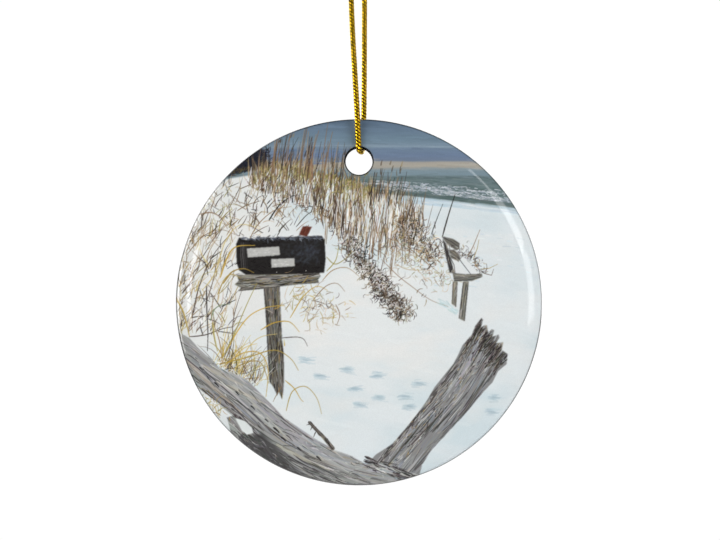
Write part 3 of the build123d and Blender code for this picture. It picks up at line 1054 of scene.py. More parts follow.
def paint_front_grass(art):
    """Golden blades that arch over the sand round the post, and curls on the sand to its right."""
    random = art.random
    root = line_place(random, (-28.5, -12.0), (-20.0, -16.4), 0.5)
    tuft = line_place(random, (-14.6, 2.6), (-6.0, -5.0), 2.4)
    side = line_place(random, (-10.4, 1.0), (-3.4, -2.4), 1.2)
    blades(art, 40, root, (2, 8), 0.5, 0.5, 0.9, (0.10, 0.2), GREY[:1] + STRAW + TAN, 0.7)
    blades(art, 44, root, (2, 9), 0.45, 0.5, 0.9, (0.10, 0.24), GOLD + OLIVE[1:2], 0.85)
    blades(art, 26, root, (2, 9), 0.3, 0.5, 0.6, (0.09, 0.18), DARK, 0.8)
    blades(art, 30, root, (1, 4), 0.5, 0.8, 0.9, (0.14, 0.26), [(234, 236, 234)], 0.7)
    blades(art, 30, tuft, (0.9, 3.2), 0.6, 1.0, 1.2, (0.12, 0.22), GOLD + OLIVE, 0.8)
    blades(art, 42, tuft, (0.8, 3.0), 0.8, 1.1, 1.2, (0.08, 0.2), STRAW + TAN + DARK[3:], 0.75)
    blades(art, 40, side, (0.8, 2.8), 2.2, 1.0, 1.0, (0.08, 0.18), STRAW + GREY[1:2] + DARK[1:2], 0.7)
    curls(art, 16, side, (0.8, 2.2), (0.08, 0.16), STRAW + GOLD[:1], 0.7)
    strokes = [
        ([(-36.5, 1.0), (-35.0, -1.6), (-34.2, -4.2), (-33.6, -6.8)], 0.30, GOLD[1]),
        ([(-33.6, -6.8), (-30.4, -6.4), (-27.0, -5.2), (-24.8, -4.8)], 0.18, DARK[1]),
        ([(-30.2, 3.4), (-30.1, -2.0), (-29.9, -6.0), (-30.0, -9.6)], 0.22, DARK[0]),
        ([(-29.4, -3.6), (-28.6, -1.4), (-27.2, -0.5), (-25.6, -0.4)], 0.24, (122, 138, 112)),
        ([(-29.0, -4.0), (-28.6, -7.0), (-28.0, -9.6)], 0.34, OLIVE[1]),
        ([(-26.2, -9.6), (-24.0, -5.6), (-21.6, -2.6), (-18.4, -1.0), (-14.8, -0.6)], 0.26, GOLD[0]),
        ([(-27.0, -11.0), (-24.6, -6.0), (-22.2, -0.4), (-20.2, 3.8)], 0.26, OLIVE[1]),
        ([(-19.4, -5.4), (-16.8, -4.0), (-13.8, -3.8), (-11.8, -5.8)], 0.26, GOLD[0]),
        ([(-15.2, -7.0), (-12.6, -6.8), (-11.0, -7.2), (-10.2, -8.6)], 0.18, DARK[1]),
        ([(-27.6, -12.2), (-22.0, -10.8), (-16.8, -9.4), (-13.6, -11.0), (-12.0, -13.4)], 0.28, GOLD[1]),
        ([(-26.8, -12.6), (-23.0, -10.0), (-19.6, -10.0), (-18.0, -13.2), (-18.4, -18.6)], 0.24, GOLD[0]),
        ([(-25.2, -13.2), (-21.4, -11.6), (-19.2, -12.2), (-17.8, -16.0)], 0.22, GOLD[3]),
        ([(-24.6, -13.4), (-21.8, -8.8), (-19.4, -6.8), (-16.2, -6.2)], 0.22, GOLD[2]),
        ([(-27.0, -12.0), (-27.6, -7.6), (-29.2, -2.6), (-28.6, 1.4)], 0.24, STRAW[1]),
        ([(-26.6, -12.0), (-25.2, -8.0), (-24.8, -3.0), (-23.2, 2.4)], 0.18, DARK[3]),
        ([(-27.4, 5.0), (-26.2, 8.6), (-24.4, 11.0), (-20.6, 11.3)], 0.34, GOLD[0]),
        ([(-26.8, 3.8), (-25.2, 6.0), (-22.8, 6.7), (-20.8, 5.9)], 0.28, GOLD[3]),
        ([(-28.0, 1.6), (-26.6, 4.6), (-25.2, 5.6), (-23.4, 4.8)], 0.24, GOLD[1]),
        ([(-31.0, 2.4), (-28.4, 6.0), (-26.4, 12.2), (-23.4, 15.4), (-19.6, 14.6)], 0.2, GOLD[2]),
        ([(-13.6, -3.0), (-11.0, 1.2), (-8.4, 3.2), (-6.2, 2.4)], 0.22, GOLD[0]),
        ([(-9.0, 0.6), (-6.6, 3.2), (-4.4, 3.8), (-2.8, 2.2)], 0.18, STRAW[3]),
        ([(-6.4, 9.0), (-4.8, 7.6), (-2.8, 8.6), (-1.4, 10.2)], 0.2, OLIVE[0]),
        ([(-6.4, 6.2), (-4.6, 8.4), (-4.0, 11.4)], 0.22, OLIVE[1]),
        ([(-7.2, 4.4), (-5.2, 6.4), (-2.4, 6.9), (0.0, 5.2)], 0.2, STRAW[1]),
        ([(-14.6, -15.4), (-12.8, -17.0), (-11.6, -19.0), (-11.0, -19.6)], 0.24, GOLD[0]),
        ([(-14.4, -21.4), (-13.2, -17.6), (-10.6, -16.6), (-8.4, -18.8), (-7.4, -22.0)], 0.2, GOLD[1]),
        ([(-15.4, -16.6), (-16.4, -18.4), (-17.0, -19.6)], 0.2, STRAW[3]),
        ([(-4.6, -0.4), (-3.8, -2.4), (-4.4, -4.4)], 0.2, STRAW[3]),
    ]
    art.arcs(strokes, 0.92, 0.4)
    offset = 0.12  # mm, up and right, of a lighter line on the first six: a painted highlight on their lit side
    for points, width, tone in strokes[:6]:
        highlight_points = [(x + offset, y + offset) for x, y in points]
        art.stroke(smooth(highlight_points), width * 0.4, np.clip(colour(tone) * 1.25, 0, 1), 0.6, 0.4)


def paint_bench(art):
    """A small slatted bench, seen from its end, with pale seat boards and its painted shadow on the sand."""
    wood = (108, 105, 98)
    dark = (62, 60, 61)
    pale = (226, 229, 229)
    scribble = line_place(art.random, (20.2, 10.8), (24.6, 5.8), 0.5)
    curls(art, 120, scribble, (0.4, 1.3), (0.08, 0.17), GREY + DARK[:3] + STRAW[1:2], 0.8)
    for line, width in (
        ([(21.4, 8.8), (22.6, 11.2), (23.9, 14.4)], 0.18), ([(22.6, 8.6), (23.4, 10.8), (23.7, 12.4)], 0.14),
        ([(24.2, 6.6), (25.8, 6.8), (27.4, 7.6)], 0.12), ([(24.6, 5.8), (26.2, 5.4), (26.6, 6.6)], 0.14),
    ):
        art.stroke(line, width, art.pick(DARK[3:] + STRAW[3:] + GOLD[3:]), 0.85, 0.5)
    art.shape([(16.3, 13.1), (18.6, 12.6), (19.8, 11.8), (19.9, 10.6), (19.2, 10.3), (17.4, 11.6)], wood)
    art.shape([(16.5, 12.6), (17.3, 11.5), (18.0, 9.0), (18.9, 5.8), (17.9, 5.9), (17.2, 9.0)], dark)
    art.shape([(17.7, 10.4), (18.8, 10.5), (20.2, 8.9), (19.6, 8.0), (18.2, 8.8)], wood)
    art.shape([(18.3, 8.6), (19.3, 8.4), (21.6, 5.7), (19.0, 5.8)], pale)
    art.shape([(19.9, 9.1), (20.8, 9.0), (23.8, 5.7), (22.2, 5.6)], pale)
    art.shape([(18.5, 5.9), (21.0, 5.6), (24.3, 5.7), (24.4, 5.1), (22.4, 4.3), (18.8, 4.2)], (110, 109, 102))
    art.shape([(18.6, 4.2), (19.5, 4.2), (19.2, -0.9), (18.3, -0.2)], (136, 132, 116))
    art.shape([(20.6, 4.2), (21.7, 4.2), (20.9, -3.7), (19.7, -3.1)], (122, 120, 110))
    for line in (
        [(18.7, 10.2), (20.4, 7.8), (22.1, 5.6)], [(18.0, 9.0), (18.8, 7.4), (19.0, 5.7)],
        [(18.6, 4), (18.4, -0.2)], [(19.4, 4), (19.1, -0.8)], [(20.6, 4), (19.8, -3.0)],
        [(21.6, 4), (20.8, -3.6)], [(21.1, 3.6), (20.4, -2.8)], [(16.6, 12.9), (18.2, 12.1), (19.7, 11.0)],
        [(17.4, 11.6), (18.8, 11.2)], [(18.8, 4.3), (21.4, 4.4), (24, 5.0)],
    ):
        art.stroke(line, 0.17, dark, 0.8, 0.7)
    for line in (
        [(19.0, 3.8), (18.8, 0.2)], [(20.9, 3.8), (20.2, -2.6)], [(18.8, 5.5), (21.4, 5.3), (24.1, 5.5)],
    ):
        art.stroke(line, 0.18, (164, 160, 142), 0.8)
    for start, end, reach in (
        ((16.6, 12.6), (19.6, 11.0), 0.7), ((18.0, 10.0), (20.0, 8.6), 0.7),
        ((17.2, 12.0), (18.4, 6.0), 0.45), ((18.7, 5.0), (24.2, 5.0), 0.5), ((19.1, 4.0), (18.8, -0.4), 0.4),
        ((21.1, 4.0), (20.3, -3.2), 0.5),
    ):
        board = Plank(art, [start, end])
        board.grain(16, (-reach, reach), (0.5, 2.0), (0.08, 0.2), TAN + GREY + BLACK[1:2], 0.7, 0.05)
    # The bench's painted shadow on the sand.
    shade = Plank(art, [(15.6, 0.6), (17.4, -0.4), (19.4, -2.0)])
    shade.grain(26, (-0.7, 0.5), (0.6, 1.8), (0.2, 0.4), [(176, 204, 208), (190, 212, 216)], 0.4)


LOG = [
    (-40, -5.0), (-35.6, -6.0), (-33.6, -7.0), (-31.4, -9.4), (-29.2, -11.2), (-27.6, -13.0), (-24.6, -14.0),
    (-22.1, -15.3), (-19.8, -17.6), (-17.3, -20.1), (-14.9, -22.7), (-11.8, -24.8), (-8.6, -27.0),
    (-4.8, -29.2), (-1.4, -30.4), (1.4, -32.0), (6.4, -32.2), (12.2, -34.4), (12.0, -40), (-16, -40),
    (-30, -34), (-25.2, -28.4), (-25.6, -25.2), (-26.2, -22.8), (-25.0, -22.4), (-27.8, -20.1),
    (-31.4, -17.4), (-33.4, -15.4), (-40, -12.0),
]
LOG_GAP = [(-24.6, -22.7), (-22.6, -23.4), (-21.2, -24.7), (-20.9, -25.8), (-22.2, -26.2), (-23.2, -25.4)]
HOLLOW = [
    (-23.2, -25.8), (-21.4, -26.3), (-19.2, -25.9), (-17.2, -28.0), (-14.6, -31.0), (-12.0, -33.6),
    (-9.0, -36), (-16, -36), (-20.5, -32.0), (-23.4, -28.6),
]
LOG_LINE = [
    (-40, -8), (-34, -11.6), (-29, -15.6), (-23, -20.2), (-17, -25.2), (-10, -29.6), (-2, -33.2), (6, -35),
    (14, -36),
]


def paint_log(art):
    """The long weathered driftwood trunk across the bottom left, with painted highlights along its top and
    painted shade beneath it and in its hollow.
    """
    cool = [(158, 161, 164), (140, 144, 150), (176, 178, 178)]
    deep = [(92, 91, 90), (76, 75, 76), (108, 106, 104)]
    light = [(186, 187, 184), (170, 174, 178), TAN[2]]
    shadow = [(52, 52, 53), (76, 76, 75), BLACK[0]]

    def work():
        art.shape(LOG, (154, 155, 153))
        trunk = Plank(art, LOG_LINE)
        trunk.grain(150, (-5, 5.5), (3, 9), (0.3, 0.9), GREY, 0.5, 0.5)
        trunk.grain(130, (0, 5.5), (3, 9), (0.2, 0.6), cool, 0.5, 0.4)
        # Darker tones over the lower half: painted shade on the trunk's underside.
        trunk.grain(150, (-6, -0.5), (2, 8), (0.2, 0.6), deep, 0.55, 0.3)
        trunk.grain(110, (-5, 5), (1.5, 6), (0.10, 0.3), TAN + PALE, 0.5, 0.4)
        trunk.grain(60, (-5, 5), (1.5, 6), (0.10, 0.3), BLUISH, 0.5, 0.4)
        trunk.grain(26, (-4.6, 4.4), (7, 16), (0.4, 1.0), light, 0.55, 0.9)
        trunk.grain(22, (-4.8, 4.2), (7, 17), (0.2, 0.42), [(78, 77, 78), (96, 95, 96)], 0.75, 0.9)
        trunk.grain(110, (-5.4, 5), (1.5, 6.5), (0.05, 0.15), BLACK, 0.8, 0.35)
        trunk.grain(130, (-5.4, 5), (1.2, 6), (0.05, 0.15), PALE, 0.8, 0.35)
        trunk.grain(80, (-5.4, 4.6), (0.4, 1.8), (0.08, 0.22), BLACK, 0.8, 0.2)
        trunk.grain(90, (-5.4, 4.6), (0.3, 1.4), (0.08, 0.2), PALE, 0.85, 0.2)
        # Black strokes along the lower edge: painted shade under the trunk. Pale strokes along the upper
        # edge, next: a painted highlight on its top.
        trunk.grain(110, (-6, -2), (0.8, 4.0), (0.12, 0.4), BLACK, 0.7, 0.2)
        trunk.grain(46, (2.6, 4.8), (2, 7), (0.12, 0.34), [(196, 197, 196), (182, 186, 192)], 0.6, 0.2)
        # Knots: a black crack each, with a pale line above it that is a painted highlight on its lip.
        for x, y, size in (
            (-16.9, -24.7, 1.0), (-15.4, -26.6, 0.8), (-28.6, -15.8, 0.8), (-8.4, -30.4, 0.8),
            (-21.4, -20.4, 0.7), (-24.4, -17.6, 0.6), (-12.2, -28.6, 0.7), (-31.6, -12.8, 0.6),
            (-18.6, -23.0, 0.6),
        ):
            art.stroke(bent((x, y), 2.2, size * 1.5, 0.3), size * 0.42, BLACK[0], 0.9, 0.5)
            art.stroke(bent((x + 0.32, y + 0.28), 2.2, size * 1.8, 0.3), 0.15, (206, 200, 184), 0.85, 0.5)
        # The hollow, filled dark: painted shade in the recess.
        art.shape(HOLLOW, (58, 57, 57), 0.3, 0.9)
        hollow = Plank(art, [(-23.0, -25.9), (-19.5, -28.2), (-16.4, -31.4), (-12.5, -35.0)])
        hollow.grain(150, (-2.8, 0.9), (0.8, 3.0), (0.15, 0.45), shadow, 0.7, 0.3)
        hollow.grain(90, (-2.6, 1.0), (0.3, 1.8), (0.08, 0.18), GREY + TAN[1:2], 0.75, 0.3)

    paint_inside(art, LOG, 0.07, work)
    art.shape(LOG_GAP, (222, 227, 226), 0.08)
    art.stroke([(-25.0, -22.6), (-22.6, -23.3), (-21.0, -24.7)], 0.22, (86, 84, 82), 0.6)
    below = line_place(art.random, (-31.5, -18.4), (-26.6, -23.4), 0.8)
    curls(art, 34, below, (0.8, 2.6), (0.10, 0.2), GOLD + OLIVE + STRAW[3:], 0.8)
    twig = Plank(art, [(-9.9, -23.6), (-8.6, -25.0), (-7.0, -26.6), (-5.2, -28.8)])
    art.stroke(twig.line, 0.62, (104, 98, 92), 1, 1.3)
    twig.grain(26, (-0.3, 0.3), (0.6, 2.4), (0.08, 0.18), BLACK + TAN[:1], 0.85, 0.05)
    for points in (
        [(-9.6, -24.0), (-10.4, -24.2)], [(-9.2, -24.4), (-9.6, -25.2)], [(-8.6, -25.6), (-9.0, -26.6)],
    ):
        art.stroke(points, 0.22, (80, 74, 70))


SNAG = [
    (1.4, -32.1), (3.3, -30.0), (6.6, -27.9), (8.9, -25.2), (11.2, -22.4), (13.4, -19.3), (14.9, -16.7),
    (16.9, -14.2), (18.6, -12.1), (19.6, -10.2), (20.4, -8.4), (22.3, -6.4), (23.0, -4.6), (24.2, -3.0),
    (24.5, -3.4), (24.1, -4.9), (24.9, -4.4), (25.3, -4.5), (25.5, -5.9), (26.3, -5.2), (26.8, -5.5),
    (26.4, -6.7), (27.6, -6.3), (27.8, -7.0), (27.1, -8.0), (28.5, -7.8), (28.2, -9.3), (29.4, -10.2),
    (29.2, -12.2), (27.5, -13.6), (26.4, -15.8), (24.6, -17.7), (22.1, -20.7), (19.8, -23.3), (16.8, -26.5),
    (14.2, -29.3), (12.5, -32.1), (11.7, -36.0), (2, -36),
]
SNAG_LINE = [(5, -35.5), (9.5, -30), (14.5, -24), (19, -18.5), (23, -12.5), (26.5, -6), (28.5, -2)]


def paint_snag(art):
    """The broken trunk that leans to the right, with a splintered end and painted shade along both edges."""
    random = art.random
    mid = [(140, 141, 143), (122, 122, 122), (154, 155, 156), (144, 140, 132)]
    light = [(168, 170, 172), (158, 162, 170), TAN[0]]
    flecks = [BLACK[0], PALE[0], PALE[1], BLUISH[2], (160, 132, 84)]

    def work():
        art.shape(SNAG, (136, 136, 136))
        trunk = Plank(art, SNAG_LINE)
        trunk.grain(130, (-3.8, 3.8), (2, 7), (0.25, 0.6), mid, 0.55, 0.3)
        trunk.grain(90, (-3.8, 3.8), (1.5, 6), (0.10, 0.30), BLUISH, 0.5, 0.3)
        trunk.grain(80, (-3.8, 3.8), (0.6, 3), (0.08, 0.2), TAN + [(170, 142, 96)], 0.55, 0.3)
        trunk.grain(16, (-3.2, 2.4), (6, 14), (0.3, 0.7), light, 0.55, 0.5)
        trunk.grain(18, (-3.6, 3.6), (6, 15), (0.18, 0.36), [(74, 71, 71), (90, 86, 86)], 0.8, 0.5)
        # Darker strokes along the upper-left edge: painted shade where the trunk rounds away.
        trunk.grain(34, (2.9, 3.9), (2, 8), (0.2, 0.5), [(82, 78, 76), (70, 66, 64)], 0.6, 0.2)
        trunk.grain(110, (-3.8, 3.8), (1.5, 6.5), (0.05, 0.13), BLACK + [(78, 74, 74)], 0.8, 0.3)
        trunk.grain(120, (-3.8, 3.8), (1.2, 5.5), (0.05, 0.13), PALE + BLUISH[2:], 0.8, 0.3)
        trunk.grain(260, (-0.5, 3.7), (0.2, 1.0), (0.07, 0.2), flecks, 0.85, 0.1)
        trunk.grain(60, (2.8, 3.8), (0.8, 3), (0.08, 0.2), [(62, 58, 56), (170, 164, 152)], 0.8, 0.1)
        # Darker strokes along the lower-right edge: painted shade where the trunk rounds away.
        trunk.grain(70, (-3.9, -2.6), (1, 5), (0.10, 0.26), [(88, 86, 86), (72, 70, 70)], 0.65, 0.1)
        for _ in range(360):
            along_end = random.random()
            depth = abs(random.normal(0, 2.2))
            x = 22.8 + 6.4 * along_end - depth * 0.6
            y = -3.6 - 7.6 * along_end - depth * 0.75
            tone = art.pick([BLACK[0], BLACK[1], BLACK[1], (72, 66, 62), (108, 100, 92)], 0.08)
            line = bent((x, y), random.normal(0.62, 0.18), random.uniform(0.4, 1.7), 0.1, 4)
            art.stroke(line, random.uniform(0.10, 0.28), tone, 0.75, 0.4)

    paint_inside(art, SNAG, 0.055, work)


def paint_root(art):
    """Where the two trunks cross, at the bottom: a dark wedge of painted shade between them, with pale
    splinters.
    """
    fork = Plank(art, [(1.0, -30.8), (4.5, -32.0), (8.0, -33.4), (12.5, -35.4)])
    fork.grain(60, (-2.2, 0.2), (1, 4), (0.15, 0.5), GREY + BLUISH, 0.6, 0.2)
    fork.grain(90, (-1.6, 0.5), (0.8, 3.2), (0.12, 0.36), BLACK + [(64, 60, 58)], 0.8, 0.2)
    fork.grain(34, (-1.8, 0.4), (0.8, 3.0), (0.08, 0.2), PALE, 0.8, 0.2)


RIM_SHADE_START = 36.1  # mm from the disc's centre, where the rim's painted shade begins
MOUTH_SHADE_START = 2.97  # mm from the hole's centre, inside which the mouth's painted shade deepens


def painted_edge_shade(art):
    """Painted shade: the picture is darkened where it rounds the rim, and made nearly black where it rounds
    the hole's mouth and lines the hole.
    """
    rim = np.hypot(art.u, art.v)
    art.image *= (1 - 0.55 * np.clip((rim - RIM_SHADE_START) / 0.25, 0, 1))[..., None]
    hole = np.hypot(art.u, art.v - (HOLE_Z - CENTRE_Z) / MM)
    art.image *= (1 - 0.95 * np.clip((MOUTH_SHADE_START - hole) / 0.14, 0, 1))[..., None]


def paint_picture():
    """The whole picture, from the sky forwards."""
    art = Canvas(20261)
    for layer in (
        paint_sky, paint_sea, paint_sand, paint_shrubs, paint_far_grass, paint_left_twigs, paint_dense_grass,
        paint_clumps, paint_post, paint_mailbox, paint_footprints, paint_bench, paint_front_grass, paint_snag,
        paint_log, paint_root, painted_edge_shade,
    ):
        layer(art)
    return art


def linear(display):
    """Display colour values as light."""
    return np.where(display <= 0.04045, display / 12.92, ((display + 0.055) / 1.055) ** 2.4)


def sample(art, x, z):
    """The painting's colours at places in metres."""
    column = (x / MM + HALF_CANVAS) / CELL - 0.5
    row = ((z - CENTRE_Z) / MM + HALF_CANVAS) / CELL - 0.5
    column = np.clip(column, 0, SIZE - 2)
    row = np.clip(row, 0, SIZE - 2)
    i, j = column.astype(int), row.astype(int)
    fx, fy = (column - i)[:, None], (row - j)[:, None]
    image = art.image
    low = image[j, i] * (1 - fx) + image[j, i + 1] * fx
    high = image[j + 1, i] * (1 - fx) + image[j + 1, i + 1] * fx
    return low * (1 - fy) + high * fy


# ---------------------------------------------------------------- the pieces

GRID = 600
RIM_STEPS = 10
HOLE_STEPS = 8
MOUTH_RADIUS = HOLE_RADIUS + HOLE_ROUND
SHADE_LINING_INSET = 0.02 * MM
SHADE_LINING_DEPTHS = (0.7, 1.6, 2.5)  # mm behind the front, of the rings of a lining down the hole's wall that carries painted shade
MATTE_REACH = 0.28 * MM
MATTE_FADE = 0.12 * MM


def face_depth(r):
    """How far the front lies behind its flat middle, at a radius."""
    roll_end = DISC_RADIUS - RIM_ROUND * (1 - math.sin(ROLL_ANGLE))
    roll_start = roll_end - ROLL_RADIUS * math.sin(ROLL_ANGLE)
    out = np.clip(r - roll_start, 0, ROLL_RADIUS * math.sin(ROLL_ANGLE))
    return ROLL_RADIUS - np.sqrt(ROLL_RADIUS**2 - out**2)


def disc_grid(radius):
    """A square grid mapped onto a disc: x and z offsets, faces and the border loop."""
    side = np.linspace(-1, 1, GRID + 1)
    a, b = np.meshgrid(side, side)
    x = a * np.sqrt(1 - b * b / 2)
    z = b * np.sqrt(1 - a * a / 2)
    index = np.arange((GRID + 1) ** 2).reshape(GRID + 1, GRID + 1)
    faces = np.stack([index[:-1, :-1], index[:-1, 1:], index[1:, 1:], index[1:, :-1]], 2).reshape(-1, 4)
    border = np.concatenate([index[0, :-1], index[:-1, -1], index[-1, :0:-1], index[:0:-1, 0]])
    return x.ravel() * radius, z.ravel() * radius, faces, border


def ring_strip(vertices, loop, rings):
    """Adds rings of vertices after a loop and returns all vertices and the strip's faces."""
    count = len(loop)
    faces = []
    previous = loop
    for ring in rings:
        base = len(vertices)
        vertices = np.concatenate([vertices, ring])
        current = base + np.arange(count)
        after = np.roll(np.arange(count), -1)
        faces.append(np.stack([previous, previous[after], current[after], current], 1))
        previous = current
    return vertices, np.concatenate(faces)


def printed_front(art, material):
    """The picture's own surface: flat middle, rolled-off border, rim round, the hole's mouth, and a lining
    down the hole's wall painted dark as shade.
    """
    roll_end = DISC_RADIUS - RIM_ROUND * (1 - math.sin(ROLL_ANGLE))
    x, z, faces, border = disc_grid(roll_end)
    hole = HOLE_Z - CENTRE_Z
    near = np.hypot(x[faces].mean(1), z[faces].mean(1) - hole) > MOUTH_RADIUS
    faces = faces[near]
    edges = np.sort(np.concatenate([faces[:, [k, (k + 1) % 4]] for k in range(4)]), axis=1)
    single, uses = np.unique(edges, axis=0, return_counts=True)
    mouth = np.unique(single[uses == 1])
    mouth = mouth[np.hypot(x[mouth], z[mouth] - hole) < 2 * MOUTH_RADIUS]
    angle = np.arctan2(z[mouth] - hole, x[mouth])
    mouth = mouth[np.argsort(angle)]
    angle = np.sort(angle)
    x[mouth] = np.cos(angle) * MOUTH_RADIUS
    z[mouth] = np.sin(angle) * MOUTH_RADIUS + hole
    y = FRONT_Y + face_depth(np.hypot(x, z))
    vertices = np.stack([x, y, z], 1)
    turn = np.arctan2(z[border], x[border])
    rim_y = FRONT_Y + face_depth(np.array([roll_end]))[0] + RIM_ROUND * math.cos(ROLL_ANGLE)
    rim_rings = []
    for share in np.linspace(0, 1, RIM_STEPS + 1)[1:]:
        slope = ROLL_ANGLE + (math.pi / 2 - ROLL_ANGLE) * share
        r = DISC_RADIUS - RIM_ROUND + RIM_ROUND * math.sin(slope)
        level = np.full(len(turn), rim_y - RIM_ROUND * math.cos(slope))
        rim_rings.append(np.stack([np.cos(turn) * r, level, np.sin(turn) * r], 1))
    vertices, rim_faces = ring_strip(vertices, border, rim_rings)
    mouth_rings = []
    for share in np.linspace(0, 1, HOLE_STEPS + 1)[1:]:
        slope = math.pi / 2 * share
        r = MOUTH_RADIUS - HOLE_ROUND * math.sin(slope)
        level = np.full(len(angle), FRONT_Y + HOLE_ROUND * (1 - math.cos(slope)))
        mouth_rings.append(np.stack([np.cos(angle) * r, level, np.sin(angle) * r + hole], 1))
    # Rings down the hole's wall, where the painting is nearly black: painted shade inside the hole.
    for depth in SHADE_LINING_DEPTHS:
        r = HOLE_RADIUS - SHADE_LINING_INSET
        level = np.full(len(angle), FRONT_Y + depth * MM)
        mouth_rings.append(np.stack([np.cos(angle) * r, level, np.sin(angle) * r + hole], 1))
    vertices, mouth_faces = ring_strip(vertices, mouth, mouth_rings)
    used = np.concatenate([faces, rim_faces[:, ::-1], mouth_faces])
    keep, renumbered = np.unique(used, return_inverse=True)
    vertices = vertices[keep]
    used = renumbered.reshape(-1, 4)
    vertices[:, 2] += CENTRE_Z
    piece = mesh_object("printed_picture", vertices, used, material)
    paint = linear(np.clip(sample(art, vertices[:, 0], vertices[:, 2]), 0, 1))
    attribute = piece.data.color_attributes.new("paint", "FLOAT_COLOR", "POINT")
    rgba = np.concatenate([paint, np.ones((len(paint), 1))], 1)
    attribute.data.foreach_set("color", rgba.astype(np.float32).ravel())
    from_hole = np.hypot(vertices[:, 0], vertices[:, 2] - HOLE_Z)
    dull = np.clip((HOLE_RADIUS + MATTE_REACH - from_hole) / MATTE_FADE, 0, 1)
    set_values(piece, "matte", dull)
    return piece


def dress(node, material):
    """Gives a CAD node a material on every slot."""
    for slot in frame["nodes"][node].material_slots:
        slot.link = "OBJECT"
        slot.material = material


FACE_FROM = -30 * MM  # height where the front strand comes to the face
FACE_FADE = 14 * MM
SWELLING = 0.03


def cord_swell(places):
    """The cord's thickness, as a factor: a little more where its front strand lies on the face."""
    on_face = (places[:, 1] < 0) * np.clip((FACE_FROM - places[:, 2]) / FACE_FADE, 0, 1)
    return 1 + SWELLING * on_face


def make_cord(gold):
    """The loop, and the line that it follows."""
    line = route_points("cord_line", CORD_ROUTE, 24)
    piece = rope_piece("hanging_cord_rope", [rope(line, swell=cord_swell)], gold)
    return piece, line


KNOT_WIDTH, KNOT_DEPTH, KNOT_HEIGHT = 0.62, 0.52, 0.20
STRAND_OFFSET = 0.47  # mm
KNOT_ENDS = 1.75  # of 2, where the knot turns in to its ends


def make_knot(gold):
    """Both strands, side by side, in a tight overhand knot that fills the CAD knot's place."""
    t = np.linspace(-2, 2, 161)
    inward = np.clip((abs(t) - KNOT_ENDS) / (2 - KNOT_ENDS), 0, 1)
    spread = 1 - inward * inward * (3 - 2 * inward)
    knot_x = KNOT_WIDTH * (t**3 - 3 * t) * spread
    knot_y = KNOT_DEPTH * (t**4 - 4 * t**2 + 2) * spread
    knot_z = KNOT_HEIGHT * (t**5 - 10 * t)
    line, at = along(np.stack([knot_x, knot_y, knot_z], 1) * MM, ROPE_STEP)
    line[:, 2] += (knot_low.z + knot_high.z) / 2
    _, first, second = frames(line)
    missing = math.pi / 2 - math.atan2(first[-1][1], first[-1][0])
    twist = (missing % math.pi - math.pi / 2) * at / at[-1]
    side = first * np.cos(twist)[:, None] + second * np.sin(twist)[:, None]
    strands = [rope(line + side * offset * MM) for offset in (-STRAND_OFFSET, STRAND_OFFSET)]
    return rope_piece("cord_knot_rope", strands, gold)


def make_tail(name, route, gold):
    """A short end of the cord, a little frayed."""
    line = route_points(name, route, 24)
    return rope_piece(name, [rope(line, fray=0.5)], gold)


# ---------------------------------------------------------------- camera, light and stage

VIEW_WIDTH = 143.6 * MM
VIEW_RISE = 6.44 * MM
VIEW_SHIFT = 0.19 * MM
CAMERA_DISTANCE = 225 * MM
SENSOR = 36.0
STRIP_ANGLE = 38.6


def make_camera():
    """Straight on, level, 6.44 mm above the disc's centre."""
    data = bpy.data.cameras.new("camera")
    data.sensor_fit = "HORIZONTAL"
    data.sensor_width = SENSOR
    data.lens = SENSOR * (CAMERA_DISTANCE + WIDEST_Y - FRONT_Y) / VIEW_WIDTH
    data.clip_start = 0.01
    data.clip_end = 20
    camera = bpy.data.objects.new("camera", data)
    bpy.context.scene.collection.objects.link(camera)
    camera.location = (VIEW_SHIFT, FRONT_Y - CAMERA_DISTANCE, CENTRE_Z + VIEW_RISE)
    camera.rotation_euler = (math.pi / 2, 0, 0)
    bpy.context.scene.camera = camera


def softbox(name, azimuth, elevation, distance, width, height, radiance, tint=(1, 1, 1), lean=0):
    """A rectangular light aimed at the disc's centre. Azimuth 0 is straight in front, growing to the right.

    lean turns its top towards azimuth 0.
    """
    data = bpy.data.lights.new(name, "AREA")
    data.shape = "RECTANGLE"
    data.size = width
    data.size_y = height
    data.energy = radiance * math.pi * width * height
    data.color = tint
    lamp = bpy.data.objects.new(name, data)
    a, e = math.radians(azimuth), math.radians(elevation)
    out = Vector((math.sin(a) * math.cos(e), -math.cos(a) * math.cos(e), math.sin(e)))
    lamp.location = Vector((0, 0, CENTRE_Z)) + out * distance
    turn = out.to_track_quat("Z", "Y") @ Quaternion((0, 0, 1), math.radians(lean))
    lamp.rotation_euler = turn.to_euler()
    lamp.visible_camera = False
    bpy.context.scene.collection.objects.link(lamp)
    return lamp


BROAD_LIGHTS = [
    ("broad_left", -48, 26, 1.0, 0.8, 0.8, 3.72, (1.0, 0.995, 0.98)),
    ("broad_right", 54, 14, 1.0, 0.8, 0.8, 3.9, (0.99, 0.99, 1.0)),
]
GLOSS_LIGHTS = [
    ("side_left", -74, 10, 0.8, 0.34, 0.8, 9.0, (1.0, 0.99, 0.96)),
    ("side_right", 80, 8, 0.8, 0.22, 0.7, 1.4, (1.0, 0.99, 0.97)),
    ("strip_left", -34, 2, 0.7, 0.10, 0.18, 5.0),
]
# Strips on a ring: name, degrees round it, width, length and radiance
RING_STRIPS = [
    ("strip_low", 3, 0.15, 0.19, 3.2), ("strip_middle", 25, 0.15, 0.18, 4.1),
    ("strip_high", 40, 0.05, 0.085, 3.8),
]


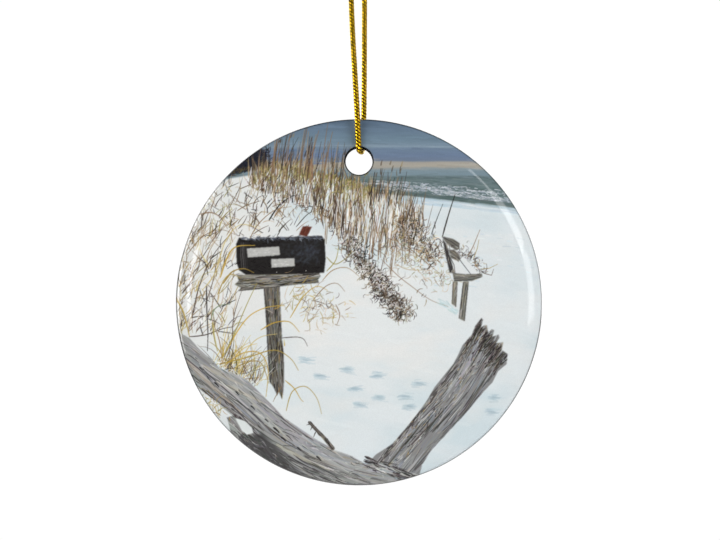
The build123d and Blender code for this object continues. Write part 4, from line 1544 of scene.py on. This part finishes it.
def make_lights(gold_pieces):
    """Broad lights that gloss doesn't mirror, lights that only gloss mirrors, one for the gold, two back."""
    for row in BROAD_LIGHTS:
        softbox(*row).visible_glossy = False
    for row in GLOSS_LIGHTS:
        softbox(*row).visible_diffuse = False
    for name, round_ring, width, length, radiance in RING_STRIPS:
        turn = math.radians(round_ring)
        azimuth = STRIP_ANGLE * math.cos(turn)
        elevation = STRIP_ANGLE * math.sin(turn)
        strip = softbox(name, azimuth, elevation, 0.7, width, length, radiance, lean=round_ring)
        strip.visible_diffuse = False
    below = softbox("gold_below", 0, -55, 0.2, 0.12, 0.12, 6.0)
    below.light_linking.receiver_collection = bpy.data.collections.new("lit_from_below")
    for piece in gold_pieces:
        below.light_linking.receiver_collection.objects.link(piece)
    softbox("back_left", -140, 25, 0.9, 0.6, 0.6, 3.0)
    softbox("back_right", 150, 15, 0.9, 0.6, 0.6, 3.0)


def make_world():
    """White wherever the camera looks, with a soft grey surround that lights the object."""
    world = bpy.data.worlds.new("studio")
    bpy.context.scene.world = world
    world.use_nodes = True
    nodes, links = world.node_tree.nodes, world.node_tree.links
    background = nodes["Background"]
    background.inputs["Color"].default_value = (1, 1, 1, 1)
    background.inputs["Strength"].default_value = 1.02
    surround = nodes.new("ShaderNodeBackground")
    surround.inputs["Color"].default_value = (0.95, 0.97, 1.0, 1)
    surround.inputs["Strength"].default_value = 0.10
    seen = nodes.new("ShaderNodeLightPath")
    mix = nodes.new("ShaderNodeMixShader")
    links.new(seen.outputs["Is Camera Ray"], mix.inputs["Fac"])
    links.new(surround.outputs["Background"], mix.inputs[1])
    links.new(background.outputs["Background"], mix.inputs[2])
    links.new(mix.outputs["Shader"], nodes["World Output"].inputs["Surface"])


FLOOR_SIDES = 96
FLOOR_RADIUS = 0.42
FLOOR_DROP = 0.20  # below the disc's centre


def make_floor():
    """A pale round floor, well below the ornament."""
    material, nodes, links, shader = new_material("floor_pale")
    tint(nodes, links, shader, 8, 2, [(0.3, (0.86, 0.86, 0.86)), (0.7, (0.89, 0.89, 0.89))])
    shader.inputs["Roughness"].default_value = 0.9
    angle = np.arange(FLOOR_SIDES) / FLOOR_SIDES * 2 * math.pi
    level = np.full(FLOOR_SIDES, CENTRE_Z - FLOOR_DROP)
    vertices = np.stack([np.cos(angle) * FLOOR_RADIUS, np.sin(angle) * FLOOR_RADIUS, level], 1)
    mesh_object("floor", vertices, np.arange(FLOOR_SIDES)[None, :], material)


make_camera()
gold = cord_material()
cord, cord_line = make_cord(gold)
art = paint_picture()
picture = printed_front(art, print_material())
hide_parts("printed_coating")
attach(picture, "ornament")
dress("ceramic_disc", porcelain_material())
knot = make_knot(gold)
left_tail = make_tail("left_tail_rope", LEFT_TAIL_ROUTE, gold)
right_tail = make_tail("right_tail_rope", RIGHT_TAIL_ROUTE, gold)
for piece, node in ((knot, "cord_knot"), (left_tail, "cord_tail_left"), (right_tail, "cord_tail_right")):
    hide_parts(node)
    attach(piece, "hanger")
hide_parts("hanging_cord")
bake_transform(cord)
make_lights([cord, knot, left_tail, right_tail])
make_world()
make_floor()
bpy.context.scene.view_settings.view_transform = "Standard"
